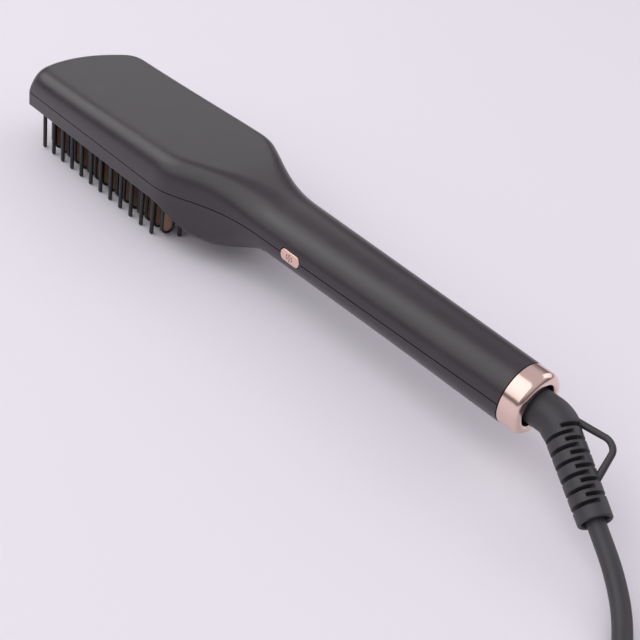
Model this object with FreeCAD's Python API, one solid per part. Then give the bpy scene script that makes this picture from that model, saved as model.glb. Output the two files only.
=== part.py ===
"""Heated styling brush: a flat paddle with heated teeth, a round handle and a swivelling mains lead.

Sizes are in millimetres. The pieces are drawn in a design frame: X runs from the paddle's tip to the
end of the handle, the parting line of the casing lies in the plane Z = 0, and Y = 0 is the middle.
At the end every piece is moved so that the pins stand on Z = 0 with the brush, up to the turning core
that reaches out of its end ring, centred over the origin.
"""
import FreeCAD, Part
import math
import os

V = FreeCAD.Vector
X_DIR = V(1, 0, 0)
Y_DIR = V(0, 1, 0)
Z_DIR = V(0, 0, 1)
overrun = 1.0

# Outline of the casing, seen from above
head_half_width = 32.0
head_rear_half_width = 31.4
tip_sagitta = 11.5
tip_fade = 45.0
shoulder_start = 102.0
shoulder_radius = 27.0
shoulder_angle = math.radians(26.0)
flank_run = 10.0
neck_radius = 73.0
handle_taper = math.radians(1.7)
handle_end = 282.0
handle_end_radius = 12.45

# Height of the casing above the parting line
tip_top = 11.8
neck_top = 14.8
handle_top = 12.6
neck_crest = 126.0
neck_back = 162.0
end_blend_start = 220.0
edge_roll = 11.0
roll_start = 122.0
roll_full = 156.0

# Depth of the casing below the parting line
rim_depth = 6.9
chin_depth = 19.2
handle_low = 11.7
chin_start = 102.0
chin_crest = 130.0
chin_back = 160.0
rim_corner = 1.0
corner_start = 114.0
corner_full = 152.0
oval_share = 0.98
shell_wall = 2.0

# Steps of the casing's surfaces
inset_tolerance = shell_wall / 1000
inset_share = 0.3
corner_steps = 6
section_steps = 24
tip_steps = 8
length_steps = 44
loft_steps = 30

# Opening in the underside and the bristle frame that closes it
opening_front = -4.0
opening_rear = 106.0
opening_rim = 3.4
opening_corner = 12.0
lip_thickness = 2.0
frame_clearance = 0.3
frame_flange = 1.2
frame_flange_thickness = 1.4
frame_boss = 1.0

# Pins round the edge of the bristle field
pin_radius = 0.95
pin_reach = 28.6
pin_head_radius = 1.6
pin_head_height = 0.8
pin_pitch = 8.414
pin_first = 4.04
pins_a_side = 12
pin_edge = 2.4
tip_pin_shares = (-0.72, -0.36, 0.0, 0.36, 0.72)
tip_pin_line = 0.5
tip_pin_bow = 1.6
rear_pin_shares = (-0.62, 0.0, 0.62)
rear_pin_line = 104.2

# Heated teeth and their guards
row_pitch = 6.05
row_first = 10.25
rows = 16
tooth_shares = (-1.0, -1.0 / 3.0, 1.0 / 3.0, 1.0)
guard_side_gap = 0.65
guard_width = 7.2
guard_thickness = 1.8
guard_arm = 1.05
guard_reach = 27.2
tooth_clearance = 0.08
tooth_thickness = 0.8
fin_bar_height = 1.6
fin_groove = 0.9

# Heater stack
plate_front = 6.6
plate_rear = 104.4
plate_edge = 3.0
plate_corner = 9.0
plate_thickness = 2.8
ear_length = 7.0
ear_half_width = 4.2
ear_share = 0.58
heater_length = 34.0
heater_width = 16.0
heater_thickness = 2.2
heater_gap = 8.0
heater_centre = 52.0
sheet_margin = 1.5
sheet_thickness = 0.4
clamp_thickness = 0.8
clamp_width = 12.0
clamp_overhang = 9.0
clamp_foot = 5.0
thermistor_radius = 1.3
thermistor_length = 5.0
thermistor_gap = 3.0
fuse_radius = 2.0
fuse_length = 11.0
fuse_pin_radius = 0.5
fuse_pin_length = 5.0
fuse_gap = 3.5

# Screws
screw_radius = 1.25
screw_head_radius = 2.3
screw_head_height = 1.4
screw_clearance = 0.25
boss_radius = 3.1
plate_screw_length = 8.0
case_screw_length = 14.0
board_screw_length = 6.0
case_screw_front = 124.0
case_screw_half_spacing = 11.0
case_screw_rear = 243.6
case_head_seat = 2.6

# Control board in the handle
board_front = 160.0
board_rear = 238.0
board_side_gap = 2.8
board_thickness = 1.6
board_under = 2.0
board_screw_inset = 4.5
post_radius = 2.6
capacitor_length = 17.5
capacitor_width = 7.0
capacitor_height = 7.4
can_radius = 4.0
can_length = 13.0
triac_length = 10.0
triac_width = 4.5
triac_height = 7.5
chip_length = 5.0
chip_width = 4.0
chip_height = 1.5
part_gap = 3.0

# Button and the switch behind it
button_place = 175.4
button_length = 11.0
button_height = 5.0
button_corner = 2.2
button_proud = 0.35
button_rim = 0.4
button_gap = 0.35
button_travel = 0.5
button_flange = 0.7
button_flange_thickness = 1.0
button_flange_depth = 3.0
button_stem_radius = 1.5
button_stem_length = 1.65
switch_size = 6.0
switch_depth = 3.5
plunger_radius = 1.4
plunger_clearance = 0.1
plunger_out = 1.2
plunger_in = 1.0
plunger_bore = 2.0

# Rose gold ring at the end of the handle
ring_length = 8.8
ring_round = 2.9
ring_inner_round = 1.0
ring_hole_radius = 8.4
ring_lip = 3.5
ring_bore_radius = 9.8
ring_spigot = 7.0
spigot_clearance = 0.12

# Swivel inside the ring
bush_bore_radius = 6.35
bush_clearance = 0.05
bush_length = 13.0
spool_radius = 6.3
spool_flange_radius = 8.4
spool_flange_thickness = 2.2
spool_end_gap = 0.3
spool_tail = 13.0
slip_ring_width = 3.0
slip_ring_thickness = 0.8
slip_ring_gap = 1.6
slip_ring_offset = 1.5
contact_gap = 0.3
contact_thickness = 0.4
contact_width = 2.2
block_length = 6.0
block_height = 4.0

# Cord boot and its hanging loop, drawn in the plane Y = 0 and then swung about the handle's axis
swing = math.radians(50.0)
boot_root_gap = 0.8
boot_radius = 7.0
boot_straight = 7.6
elbow_radius = 11.6
elbow_angle = math.radians(32.0)
sleeve_length = 34.4
sleeve_taper = 2.6
sleeve_start_radius = 6.5
sleeve_end_radius = 6.0
slot_count = 6
slot_pitch = 5.0
slot_first = 1.0
slot_width = 1.2
slot_depth = 2.2
slot_past_middle = 2.0
slot_turn = math.radians(-68.0)
slot_stagger_share = 0.5
boot_socket_depth = 6.0
boot_socket_radius = 5.0
mouth_radius = 4.7
mouth_depth = 3.5
loop_radius = 1.2
loop_root_in = -1.75
loop_root_out = 21.75
loop_sink = 2.0
loop_reach = 7.3
loop_apex = 11.4
loop_apex_width = 2.0

# Mains lead
cord_radius = 3.2
cord_lift = 0.05
stub_out = 2.0
stub_gap = 0.3
route_first = 5.0
route = (
    (343.7, -21.6, -17.9),
    (351.3, -27.0, -20.6),
    (357.2, -32.5, -22.9),
    (362.3, -39.1, -24.6),
    (369.0, -46.3, -25.35),
    (379.0, -55.6, -25.1),
    (391.0, -63.1, -24.1),
)
arc_share = 0.45

# Coil of the lead that is put away
coil_start_x = 416.1
coil_start_y = -70.0
coil_heading = math.radians(-16.6)
coil_lead = 13.4
coil_outer_radius = 48.5
coil_pitch = 6.9
coil_layer = 6.9
coil_turns_a_layer = 3.0
coil_climb_turns = 0.53
coil_steps_a_turn = 4
turn_step = 1.0 / 720
coil_samples = 1500
coil_apart = 150
tie_thickness = 1.0
tie_width = 5.0
tie_gap = 0.35
tie_turn = 0.37

# Tail of the lead and its plug
tail_first_run = 14.0
tail_run = 16.0
tail_runs = 7
tail_first_turn = math.radians(20.0)
tail_turn = math.radians(25.0)
tail_climb_runs = 4
plug_gap = 0.35
plug_length = 26.0
plug_width = 26.0
plug_nose_width = 25.0
plug_thickness = 13.7
plug_neck_length = 14.0
plug_neck_radius = 5.4
plug_corner = 5.5
plug_socket_depth = 4.0
prong_radius = 2.0
prong_length = 19.0
prong_spacing = 18.6
prong_seat = 6.0
prong_sleeve_radius = 1.7
prong_sleeve_length = 10.0

# Inner wiring
heater_lead_radius = 0.9
sensor_lead_radius = 0.55
mains_lead_radius = 0.9
lead_lift = 5.2
lead_gap = 0.4
lead_neck = 111.0
heater_lead_inner = 3.0
heater_lead_edge = 4.0
sensor_lead_inner = 5.5
sensor_lead_spread = 0.7
sensor_lead_edge = 1.4


def smooth(start, end, x):
    """Runs from 0 at start to 1 at end with no kink."""
    share = min(max((x - start) / (end - start), 0.0), 1.0)
    return share * share * (3.0 - 2.0 * share)


# Points where the outline changes from arc to line, worked out once
shoulder_end = shoulder_start + shoulder_radius * math.sin(shoulder_angle)
shoulder_end_width = head_rear_half_width - shoulder_radius * (1 - math.cos(shoulder_angle))
flank_end = shoulder_end + flank_run
flank_end_width = shoulder_end_width - flank_run * math.tan(shoulder_angle)
neck_end = flank_end + neck_radius * (math.sin(shoulder_angle) - math.sin(handle_taper))
neck_end_width = flank_end_width - neck_radius * (math.cos(handle_taper) - math.cos(shoulder_angle))
tip_radius = (head_half_width ** 2 + tip_sagitta ** 2) / (2 * tip_sagitta)
tip_centre = tip_radius - tip_sagitta


def half_width(x):
    """Half the casing's width on the parting line."""
    if x <= shoulder_start:
        return head_half_width - (head_half_width - head_rear_half_width) * max(x, 0) / shoulder_start
    if x < shoulder_end:
        return head_rear_half_width - shoulder_radius + math.sqrt(shoulder_radius ** 2 - (x - shoulder_start) ** 2)
    if x < flank_end:
        return shoulder_end_width - (x - shoulder_end) * math.tan(shoulder_angle)
    if x < neck_end:
        arc_x = flank_end + neck_radius * math.sin(shoulder_angle)
        arc_y = flank_end_width + neck_radius * math.cos(shoulder_angle)
        return arc_y - math.sqrt(neck_radius ** 2 - (x - arc_x) ** 2)
    return neck_end_width + (handle_end_radius - neck_end_width) * (x - neck_end) / (handle_end - neck_end)


def top_height(x):
    """Height of the casing's middle above the parting line."""
    height = tip_top + (neck_top - tip_top) * smooth(0, neck_crest, x)
    height += (handle_top - neck_top) * smooth(neck_crest, neck_back, x)
    return height + (handle_end_radius - handle_top) * smooth(end_blend_start, handle_end, x)


def low_depth(x):
    """Depth of the casing's middle below the parting line."""
    depth = rim_depth + (chin_depth - rim_depth) * smooth(chin_start, chin_crest, x)
    depth += (handle_low - chin_depth) * smooth(chin_crest, chin_back, x)
    return depth + (handle_end_radius - handle_low) * smooth(end_blend_start, handle_end, x)


def roll_width(x):
    """How far in from the edge the rounded top edge reaches."""
    return edge_roll + (half_width(x) - edge_roll) * smooth(roll_start, roll_full, x)


def corner_size(x):
    """Width and height of the rounded lower corner."""
    share = smooth(corner_start, corner_full, x)
    width = rim_corner + (oval_share * half_width(x) - rim_corner) * share
    height = rim_corner + (oval_share * low_depth(x) - rim_corner) * share
    return width, height


def box(x0, x1, y0, y1, z0, z1):
    """A block between two corners."""
    return Part.makeBox(x1 - x0, y1 - y0, z1 - z0, V(x0, y0, z0))


def rod(start, direction, radius, length):
    """A round bar."""
    return Part.makeCylinder(radius, length, start, direction)


def rounded_rectangle(x0, x1, half, corner, z):
    """A closed wire: a rectangle with round corners, level at z and even about the middle."""
    a = x0 + corner
    b = x1 - corner
    c = half - corner
    diagonal = corner * math.sqrt(0.5)
    edges = [
        Part.LineSegment(V(a, -half, z), V(b, -half, z)),
        Part.Arc(V(b, -half, z), V(b + diagonal, -c - diagonal, z), V(x1, -c, z)),
        Part.LineSegment(V(x1, -c, z), V(x1, c, z)),
        Part.Arc(V(x1, c, z), V(b + diagonal, c + diagonal, z), V(b, half, z)),
        Part.LineSegment(V(b, half, z), V(a, half, z)),
        Part.Arc(V(a, half, z), V(a - diagonal, c + diagonal, z), V(x0, c, z)),
        Part.LineSegment(V(x0, c, z), V(x0, -c, z)),
        Part.Arc(V(x0, -c, z), V(a - diagonal, -c - diagonal, z), V(a, -half, z)),
    ]
    return Part.Wire([edge.toShape() for edge in edges])


def rounded_plate(x0, x1, half, corner, z0, z1):
    """A flat plate with round corners, between two levels."""
    return Part.Face(rounded_rectangle(x0, x1, half, corner, z0)).extrude(V(0, 0, z1 - z0))


def rounded_route(points):
    """Straight runs through the points, joined by the largest tangent arcs; also the arcs' radii."""
    edges = []
    radii = []
    start = points[0]
    for before, corner, after in zip(points, points[1:], points[2:]):
        back = (before - corner).normalize()
        ahead = (after - corner).normalize()
        turn = math.pi - back.getAngle(ahead)
        trim = arc_share * min((before - corner).Length, (after - corner).Length)
        radius = trim / math.tan(turn / 2)
        first = corner + back * trim
        last = corner + ahead * trim
        inward = (back + ahead).normalize()
        middle = corner + inward * (radius / math.cos(turn / 2) - radius)
        edges.append(Part.LineSegment(start, first).toShape())
        edges.append(Part.Arc(first, middle, last).toShape())
        radii.append(radius)
        start = last
    edges.append(Part.LineSegment(start, points[-1]).toShape())
    return Part.Wire(edges), radii


def tube(path, radius):
    """A round tube along a path."""
    edge = path.Edges[0]
    start = edge.valueAt(edge.FirstParameter)
    direction = edge.tangentAt(edge.FirstParameter)
    section = Part.Wire([Part.makeCircle(radius, start, direction)])
    return path.makePipeShell([section], True, False)


def wire_tube(points, radius):
    """A tube along straight runs with round corners."""
    return tube(rounded_route(points)[0], radius)


def top_surface(inset):
    """The face of the top cover, or the face that lies inset within it, from tip to ring."""
    reach = tip_radius - inset
    corner_width = head_half_width - inset
    corner_x = tip_centre - math.sqrt(reach ** 2 - corner_width ** 2)
    roll = edge_roll - inset
    stations = [roll * (1 - math.cos(math.pi / 2 * step / tip_steps)) for step in range(tip_steps)]
    left = handle_end - corner_x - roll
    stations += [roll + left * step / length_steps for step in range(length_steps + 1)]
    grid = []
    for along in stations:
        side_x = corner_x + along
        width = half_width(side_x) - inset
        height = top_height(side_x) - inset
        height *= math.sqrt(max(1 - max(1 - along / roll, 0) ** 2, 0))
        edge = roll_width(side_x) - inset
        row = []
        for step in range(section_steps + 1):
            y = -width * math.cos(math.pi * step / section_steps)
            over = max(abs(y) - (width - edge), 0) / edge
            z = height * math.sqrt(max(1 - over ** 2, 0))
            arc_x = tip_centre - math.sqrt(reach ** 2 - min(abs(y), corner_width) ** 2)
            x = side_x + (arc_x - corner_x) * (1 - smooth(0, tip_fade, along))
            row.append(V(x, y, z))
        grid.append(row)
    for row in (grid[0], [column[0] for column in grid], [column[-1] for column in grid]):
        for point in row:
            point.z = 0
    surface = Part.BSplineSurface()
    surface.interpolate(grid)
    return surface.toShape()


def top_solid(inset):
    """The space under the top surface, closed on the parting plane and at the ring."""
    face = top_surface(inset)
    flat = [edge for edge in face.Edges if edge.BoundBox.ZLength < inset_tolerance]
    end = [edge for edge in face.Edges if edge.BoundBox.ZLength >= inset_tolerance]
    corners = [vertex.Point for vertex in end[0].Vertexes]
    closing = Part.LineSegment(corners[0], corners[1]).toShape()
    seam_face = Part.Face(Part.Wire(Part.__sortEdges__(flat + [closing])))
    end_face = Part.Face(Part.Wire(Part.__sortEdges__(end + [closing])))
    shell = Part.Shell([face, seam_face, end_face])
    shell.sewShape()
    solid = Part.Solid(shell)
    if solid.Volume < 0:
        solid.reverse()
    return solid


def low_section(x, inset):
    """Closed outline of the lower casing at x: walls, rounded corners, floor and parting plane."""
    width = half_width(x) - inset
    depth = low_depth(x) - inset
    corner_width, corner_height = corner_size(x)
    corner_width = max(corner_width - inset, corner_width * inset_share)
    corner_height = max(corner_height - inset, corner_height * inset_share)
    side = depth - corner_height
    flat = width - corner_width
    edges = [Part.LineSegment(V(x, width, 0), V(x, width, -side)).toShape()]
    edges.append(corner_arc(x, flat, -side, corner_width, corner_height, False))
    edges.append(Part.LineSegment(V(x, flat, -depth), V(x, -flat, -depth)).toShape())
    edges.append(corner_arc(x, -flat, -side, corner_width, corner_height, True))
    edges.append(Part.LineSegment(V(x, -width, -side), V(x, -width, 0)).toShape())
    edges.append(Part.LineSegment(V(x, -width, 0), V(x, width, 0)).toShape())
    return Part.Wire(edges)


def corner_arc(x, y, z, width, height, mirrored):
    """A quarter of an ellipse between wall and floor, as a smooth curve through points on it."""
    points = []
    for step in range(corner_steps + 1):
        angle = math.pi / 2 * step / corner_steps
        points.append(V(x, width * math.cos(angle), -height * math.sin(angle)))
    if mirrored:
        points = [V(point.x, -point.y, point.z) for point in reversed(points)]
    curve = Part.BSplineCurve()
    curve.interpolate([point + V(0, y, z) for point in points])
    return curve.toShape()


def low_solid(inset):
    """The space inside the lower casing's outer face, or inset within it, from tip to ring."""
    front = -tip_sagitta - overrun
    paddle = Part.makeLoft([low_section(x, inset) for x in (front, 0, shoulder_start)], True, True)
    span = handle_end - shoulder_start
    stations = [shoulder_start + span * step / loft_steps for step in range(loft_steps + 1)]
    handle = Part.makeLoft([low_section(x, inset) for x in stations], True, False)
    body = paddle.fuse(handle)
    deep = 2 * chin_depth
    wide = 2 * head_half_width
    beyond = box(front - overrun, tip_centre, -wide, wide, -deep, overrun)
    beyond = beyond.cut(rod(V(tip_centre, 0, -deep - overrun), Z_DIR, tip_radius - inset, 2 * deep))
    return body.cut(beyond)


# Widths that follow the casing
opening_half_width = min(head_half_width, head_rear_half_width) - opening_rim
pin_row_half_width = opening_half_width - pin_edge
teeth_half_span = pin_row_half_width - pin_radius - guard_side_gap - guard_width / 2
plate_half_width = opening_half_width - plate_edge
ear_offset = plate_half_width * ear_share
thermistor_offset = heater_width / 2 + sheet_margin + thermistor_gap
fuse_offset = heater_width / 2 + sheet_margin + fuse_gap
board_half_width = half_width(board_rear) - shell_wall - board_side_gap

# Levels that the stack in the paddle follows
lip_level = lip_thickness - rim_depth
frame_top = lip_level + frame_flange_thickness
frame_bottom = lip_level - frame_boss
plate_bottom = frame_top + fin_bar_height
plate_top = plate_bottom + plate_thickness
heater_top = plate_top + heater_thickness
clamp_bottom = heater_top + sheet_thickness
board_top = board_under + board_thickness
row_places = [row_first + row_pitch * row for row in range(rows)]
tooth_places = [teeth_half_span * share for share in tooth_shares]
plate_screw_places = [
    (plate_front - ear_length / 2, -ear_offset),
    (plate_front - ear_length / 2, ear_offset),
    (plate_rear + ear_length / 2, -ear_offset),
    (plate_rear + ear_length / 2, ear_offset),
]
case_screw_places = [
    (case_screw_front, -case_screw_half_spacing),
    (case_screw_front, case_screw_half_spacing),
    (case_screw_rear, 0),
]
board_screw_places = [(board_front + board_screw_inset, 0), (board_rear - board_screw_inset, 0)]
spool_axis_front = handle_end + ring_length - ring_lip


def pin_places():
    """Where the plain pins stand: both sides, the tip and the rear of the bristle field."""
    places = []
    for index in range(pins_a_side):
        x = pin_first + pin_pitch * index
        places += [(x, -pin_row_half_width), (x, pin_row_half_width)]
    for share in tip_pin_shares:
        places.append((tip_pin_line - tip_pin_bow * (1 - share ** 2), pin_row_half_width * share))
    for share in rear_pin_shares:
        places.append((rear_pin_line, pin_row_half_width * share))
    return places


def screw(x, y, head_z, length, upward):
    """A pan head screw along Z, its head's seat at head_z."""
    way = Z_DIR if upward else Z_DIR * -1
    seat = V(x, y, head_z)
    shank = rod(seat, way, screw_radius, length)
    head = rod(seat, way * -1, screw_head_radius, screw_head_height)
    slot_half = screw_radius / 4
    depth = screw_head_height / 2
    face_z = (seat + way * -screw_head_height).z
    low = min(face_z, face_z + depth * way.z)
    slot = box(x - screw_head_radius, x + screw_head_radius, y - slot_half, y + slot_half, low, low + depth)
    return shank.fuse(head).removeSplitter().cut(slot)


def button_outline(grow, y):
    """The button's rounded outline in a plane across Y, grown all round."""
    half = button_height / 2 + grow
    wire = rounded_rectangle(-button_length / 2 - grow, button_length / 2 + grow, half, button_corner + grow, 0)
    wire.rotate(V(0, 0, 0), X_DIR, 90)
    wire.translate(V(button_place, y, 0))
    return wire


def button_prism(grow, y0, y1):
    """The button's outline, grown and drawn out between two depths."""
    return Part.Face(button_outline(grow, y0)).extrude(V(0, y1 - y0, 0))


button_skin = half_width(button_place)
switch_reach = (button_skin - button_flange_depth - button_flange_thickness - button_stem_length
                - plunger_out)
button_hole = button_prism(button_gap, -button_skin - shell_wall, -button_skin + 2 * shell_wall)


def make_top_cover():
    """The upper shell, with bosses for the heater plate, the case screws and the board."""
    outer = top_solid(0)
    shell = outer.cut(top_solid(shell_wall))
    tall = neck_top + overrun
    bosses = [rod(V(x, y, plate_top), Z_DIR, boss_radius, tall) for x, y in plate_screw_places]
    bosses += [rod(V(x, y, 0), Z_DIR, boss_radius, tall) for x, y in case_screw_places]
    bosses += [rod(V(x, y, board_top), Z_DIR, post_radius, tall) for x, y in board_screw_places]
    for boss in bosses:
        shell = shell.fuse(boss.common(outer))
    for x, y in plate_screw_places:
        shell = shell.cut(rod(V(x, y, plate_bottom), Z_DIR, screw_radius, plate_screw_length + overrun))
    for x, y in case_screw_places:
        seat = case_seat(x)
        shell = shell.cut(rod(V(x, y, seat), Z_DIR, screw_radius, case_screw_length + overrun))
    for x, y in board_screw_places:
        shell = shell.cut(rod(V(x, y, board_under), Z_DIR, screw_radius, board_screw_length + overrun))
    return shell.cut(button_hole)


def case_seat(x):
    """Height of the case screw's seat, so that the screw reaches the same way into the top boss."""
    return -min(low_depth(x) - case_head_seat - screw_head_height, case_screw_length / 2)


def make_bottom_cover():
    """The lower shell: a rim round the bristles, a deep chin, and bosses for the case screws."""
    outer = low_solid(0)
    shell = outer.cut(low_solid(shell_wall))
    deep = chin_depth + overrun
    opening = rounded_plate(opening_front, opening_rear, opening_half_width, opening_corner, -deep, lip_level)
    seat = rounded_plate(
        opening_front - frame_flange - frame_clearance, opening_rear + frame_flange + frame_clearance,
        opening_half_width + frame_flange + frame_clearance, opening_corner + frame_flange + frame_clearance,
        lip_level, 0)
    shell = shell.cut(opening).cut(seat)
    for x, y in case_screw_places:
        boss = rod(V(x, y, -deep), Z_DIR, boss_radius + shell_wall / 2, deep).common(outer)
        shell = shell.fuse(boss)
    for x, y in case_screw_places:
        seat = case_seat(x)
        shell = shell.cut(rod(V(x, y, seat - deep), Z_DIR, screw_head_radius + screw_clearance, deep))
        shell = shell.cut(rod(V(x, y, seat), Z_DIR, screw_radius + screw_clearance, deep))
    return shell.cut(button_hole)


def make_bristle_frame():
    """The plate in the underside: a flange on the rim's lip, and slots for pins and combs."""
    flange = rounded_plate(
        opening_front - frame_flange, opening_rear + frame_flange, opening_half_width + frame_flange,
        opening_corner + frame_flange, lip_level, frame_top)
    boss = rounded_plate(
        opening_front + frame_clearance, opening_rear - frame_clearance, opening_half_width - frame_clearance,
        opening_corner - frame_clearance, frame_bottom, lip_level)
    frame = flange.fuse(boss)
    holes = [rod(V(x, y, frame_bottom - overrun), Z_DIR, pin_radius, 2 * overrun + frame_top - frame_bottom)
             for x, y in pin_places()]
    half_slot = guard_thickness / 2 + tooth_clearance
    end = tooth_places[-1] + guard_width / 2 + tooth_clearance
    holes += [box(x - half_slot, x + half_slot, -end, end, frame_bottom - overrun, frame_top + overrun)
              for x in row_places]
    return frame.cut(Part.makeCompound(holes))


def make_bristle_pins():
    """Plain nylon pins with round tips, each held by a head behind the frame."""
    pins = []
    for x, y in pin_places():
        tip = -pin_reach + pin_radius
        shaft = rod(V(x, y, tip), Z_DIR, pin_radius, frame_top - tip)
        ball = Part.makeSphere(pin_radius, V(x, y, tip))
        head = rod(V(x, y, frame_top), Z_DIR, pin_head_radius, pin_head_height)
        pins.append(shaft.fuse([ball, head]).removeSplitter())
    return Part.makeCompound(pins)


def tooth_profile(x, y, half, reach, top):
    """A tooth's flat outline across X: straight sides and a round end."""
    low = half - reach
    edges = [
        Part.LineSegment(V(x, y - half, top), V(x, y - half, low)),
        Part.Arc(V(x, y - half, low), V(x, y, -reach), V(x, y + half, low)),
        Part.LineSegment(V(x, y + half, low), V(x, y + half, top)),
        Part.LineSegment(V(x, y + half, top), V(x, y - half, top)),
    ]
    return Part.Face(Part.Wire([edge.toShape() for edge in edges]))


def make_guard_combs():
    """Heat guards: a bar in the frame's slot and a U round the edge of every tooth, one comb a row."""
    combs = []
    for x in row_places:
        side = x - guard_thickness / 2
        end = tooth_places[-1] + guard_width / 2
        comb = box(side, side + guard_thickness, -end, end, frame_bottom, frame_top)
        for y in tooth_places:
            solid = tooth_profile(side, y, guard_width / 2, guard_reach, frame_bottom)
            comb = comb.fuse(solid.extrude(V(guard_thickness, 0, 0)))
        comb = comb.removeSplitter()
        half = guard_width / 2 - guard_arm
        for y in tooth_places:
            window = tooth_profile(side - overrun, y, half, guard_reach - guard_arm, frame_bottom)
            comb = comb.cut(window.extrude(V(guard_thickness + 2 * overrun, 0, 0)))
            slot_half = tooth_thickness / 2 + tooth_clearance
            comb = comb.cut(box(x - slot_half, x + slot_half, y - half, y + half, frame_bottom - overrun,
                                frame_top + overrun))
        combs.append(comb)
    return Part.makeCompound(combs)


def make_heating_fins():
    """Stamped metal strips: a bar pressed into the plate and four teeth through each comb."""
    fins = []
    for x in row_places:
        side = x - tooth_thickness / 2
        half = guard_width / 2 - guard_arm - tooth_clearance
        end = tooth_places[-1] + half
        strip = box(side, side + tooth_thickness, -end, end, frame_top, plate_bottom + fin_groove)
        for y in tooth_places:
            reach = guard_reach - guard_arm - tooth_clearance
            tooth = tooth_profile(side, y, half, reach, frame_top)
            strip = strip.fuse(tooth.extrude(V(tooth_thickness, 0, 0)))
        fins.append(strip.removeSplitter())
    return Part.makeCompound(fins)


def make_heating_plate():
    """The aluminium plate that carries the fins, with four screw ears."""
    plate = rounded_plate(plate_front, plate_rear, plate_half_width, plate_corner, plate_bottom, plate_top)
    for x, y in plate_screw_places:
        inner = plate_front + plate_corner if x < plate_front else plate_rear - plate_corner
        end = x - ear_half_width if x < plate_front else x + ear_half_width
        ear = box(min(inner, end), max(inner, end), y - ear_half_width, y + ear_half_width, plate_bottom, plate_top)
        plate = plate.fuse(ear)
    plate = plate.removeSplitter()
    half = tooth_thickness / 2
    end = tooth_places[-1] + guard_width / 2 - guard_arm - tooth_clearance
    grooves = [box(x - half, x + half, -end, end, plate_bottom - overrun, plate_bottom + fin_groove)
               for x in row_places]
    holes = [rod(V(x, y, plate_bottom - overrun), Z_DIR, screw_radius + screw_clearance,
                 plate_thickness + 2 * overrun) for x, y in plate_screw_places]
    return plate.cut(Part.makeCompound(grooves + holes))


heater_half_span = heater_length + heater_gap / 2


def make_ceramic_heaters():
    """Two flat heater tiles on the plate."""
    tiles = []
    for start in (heater_centre - heater_half_span, heater_centre + heater_gap / 2):
        tiles.append(box(start, start + heater_length, -heater_width / 2, heater_width / 2, plate_top, heater_top))
    return Part.makeCompound(tiles)


def make_insulation_sheet():
    """The mica sheet over the tiles."""
    half = heater_half_span + sheet_margin
    wide = heater_width / 2 + sheet_margin
    return box(heater_centre - half, heater_centre + half, -wide, wide, heater_top, clamp_bottom)


def make_heater_clamp():
    """A sprung steel strap that presses the tiles down, with a foot on the plate at each end."""
    half = heater_half_span + clamp_overhang
    wide = clamp_width / 2
    top = clamp_bottom + clamp_thickness
    strap = box(heater_centre - half, heater_centre + half, -wide, wide, clamp_bottom, top)
    for way in (-1, 1):
        inner = heater_centre + way * (half - clamp_thickness)
        outer = heater_centre + way * half
        leg = box(min(inner, outer), max(inner, outer), -wide, wide, plate_top, top)
        toe = heater_centre + way * (half - clamp_foot)
        foot = box(min(toe, outer), max(toe, outer), -wide, wide, plate_top, plate_top + clamp_thickness)
        strap = strap.fuse(leg).fuse(foot)
    return strap.removeSplitter()


def make_thermistor():
    """The glass bead sensor that lies on the plate beside the tiles."""
    start = V(heater_centre - thermistor_length / 2, thermistor_offset, plate_top + thermistor_radius)
    body = rod(start, X_DIR, thermistor_radius, thermistor_length)
    return body.fuse(Part.makeSphere(thermistor_radius, start)).removeSplitter()


def make_thermal_fuse():
    """The safety cut-out beside the tiles, with a lead pin at each end."""
    start = V(heater_centre - fuse_length / 2, -fuse_offset, plate_top + fuse_radius)
    body = rod(start, X_DIR, fuse_radius, fuse_length)
    pin = rod(start - V(fuse_pin_length, 0, 0), X_DIR, fuse_pin_radius, fuse_length + 2 * fuse_pin_length)
    return body.fuse(pin).removeSplitter()


def make_circuit_board():
    """The control board, cut for its two screws."""
    board = box(board_front, board_rear, -board_half_width, board_half_width, board_under, board_top)
    holes = [rod(V(x, y, board_under - overrun), Z_DIR, screw_radius + screw_clearance,
                 board_thickness + 2 * overrun) for x, y in board_screw_places]
    return board.cut(Part.makeCompound(holes))


def make_board_components():
    """What is soldered under and on the board: capacitor, electrolytic can, triac and two chips."""
    x = board_front + 2 * board_screw_inset + switch_size + 2 * part_gap
    start = max(x, button_place + switch_size / 2 + part_gap)
    capacitor = box(start, start + capacitor_length, -capacitor_width / 2, capacitor_width / 2,
                    board_under - capacitor_height, board_under)
    start += capacitor_length + part_gap
    can = rod(V(start, 0, board_under - can_radius), X_DIR, can_radius, can_length)
    start += can_length + part_gap
    triac = box(start, start + triac_width, -triac_length / 2, triac_length / 2,
                board_under - triac_height, board_under)
    chips = []
    for place in (board_front + 2 * board_screw_inset + part_gap, button_place + 2 * capacitor_length):
        chips.append(box(place, place + chip_length, -chip_width / 2, chip_width / 2, board_top,
                         board_top + chip_height))
    return Part.makeCompound([capacitor, can, triac] + chips)


def make_tact_switch():
    """The side-acting switch under the board, with a bore for its plunger."""
    half = switch_size / 2
    front = -switch_reach
    body = box(button_place - half, button_place + half, front, front + switch_depth, -board_under, board_under)
    bore = rod(V(button_place, front - overrun, 0), Y_DIR, plunger_radius + plunger_clearance, overrun + plunger_bore)
    return body.cut(bore)


def make_switch_plunger():
    """The switch's stem, which the button pushes."""
    return rod(V(button_place, -switch_reach - plunger_out, 0), Y_DIR, plunger_radius, plunger_out + plunger_in)


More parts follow.
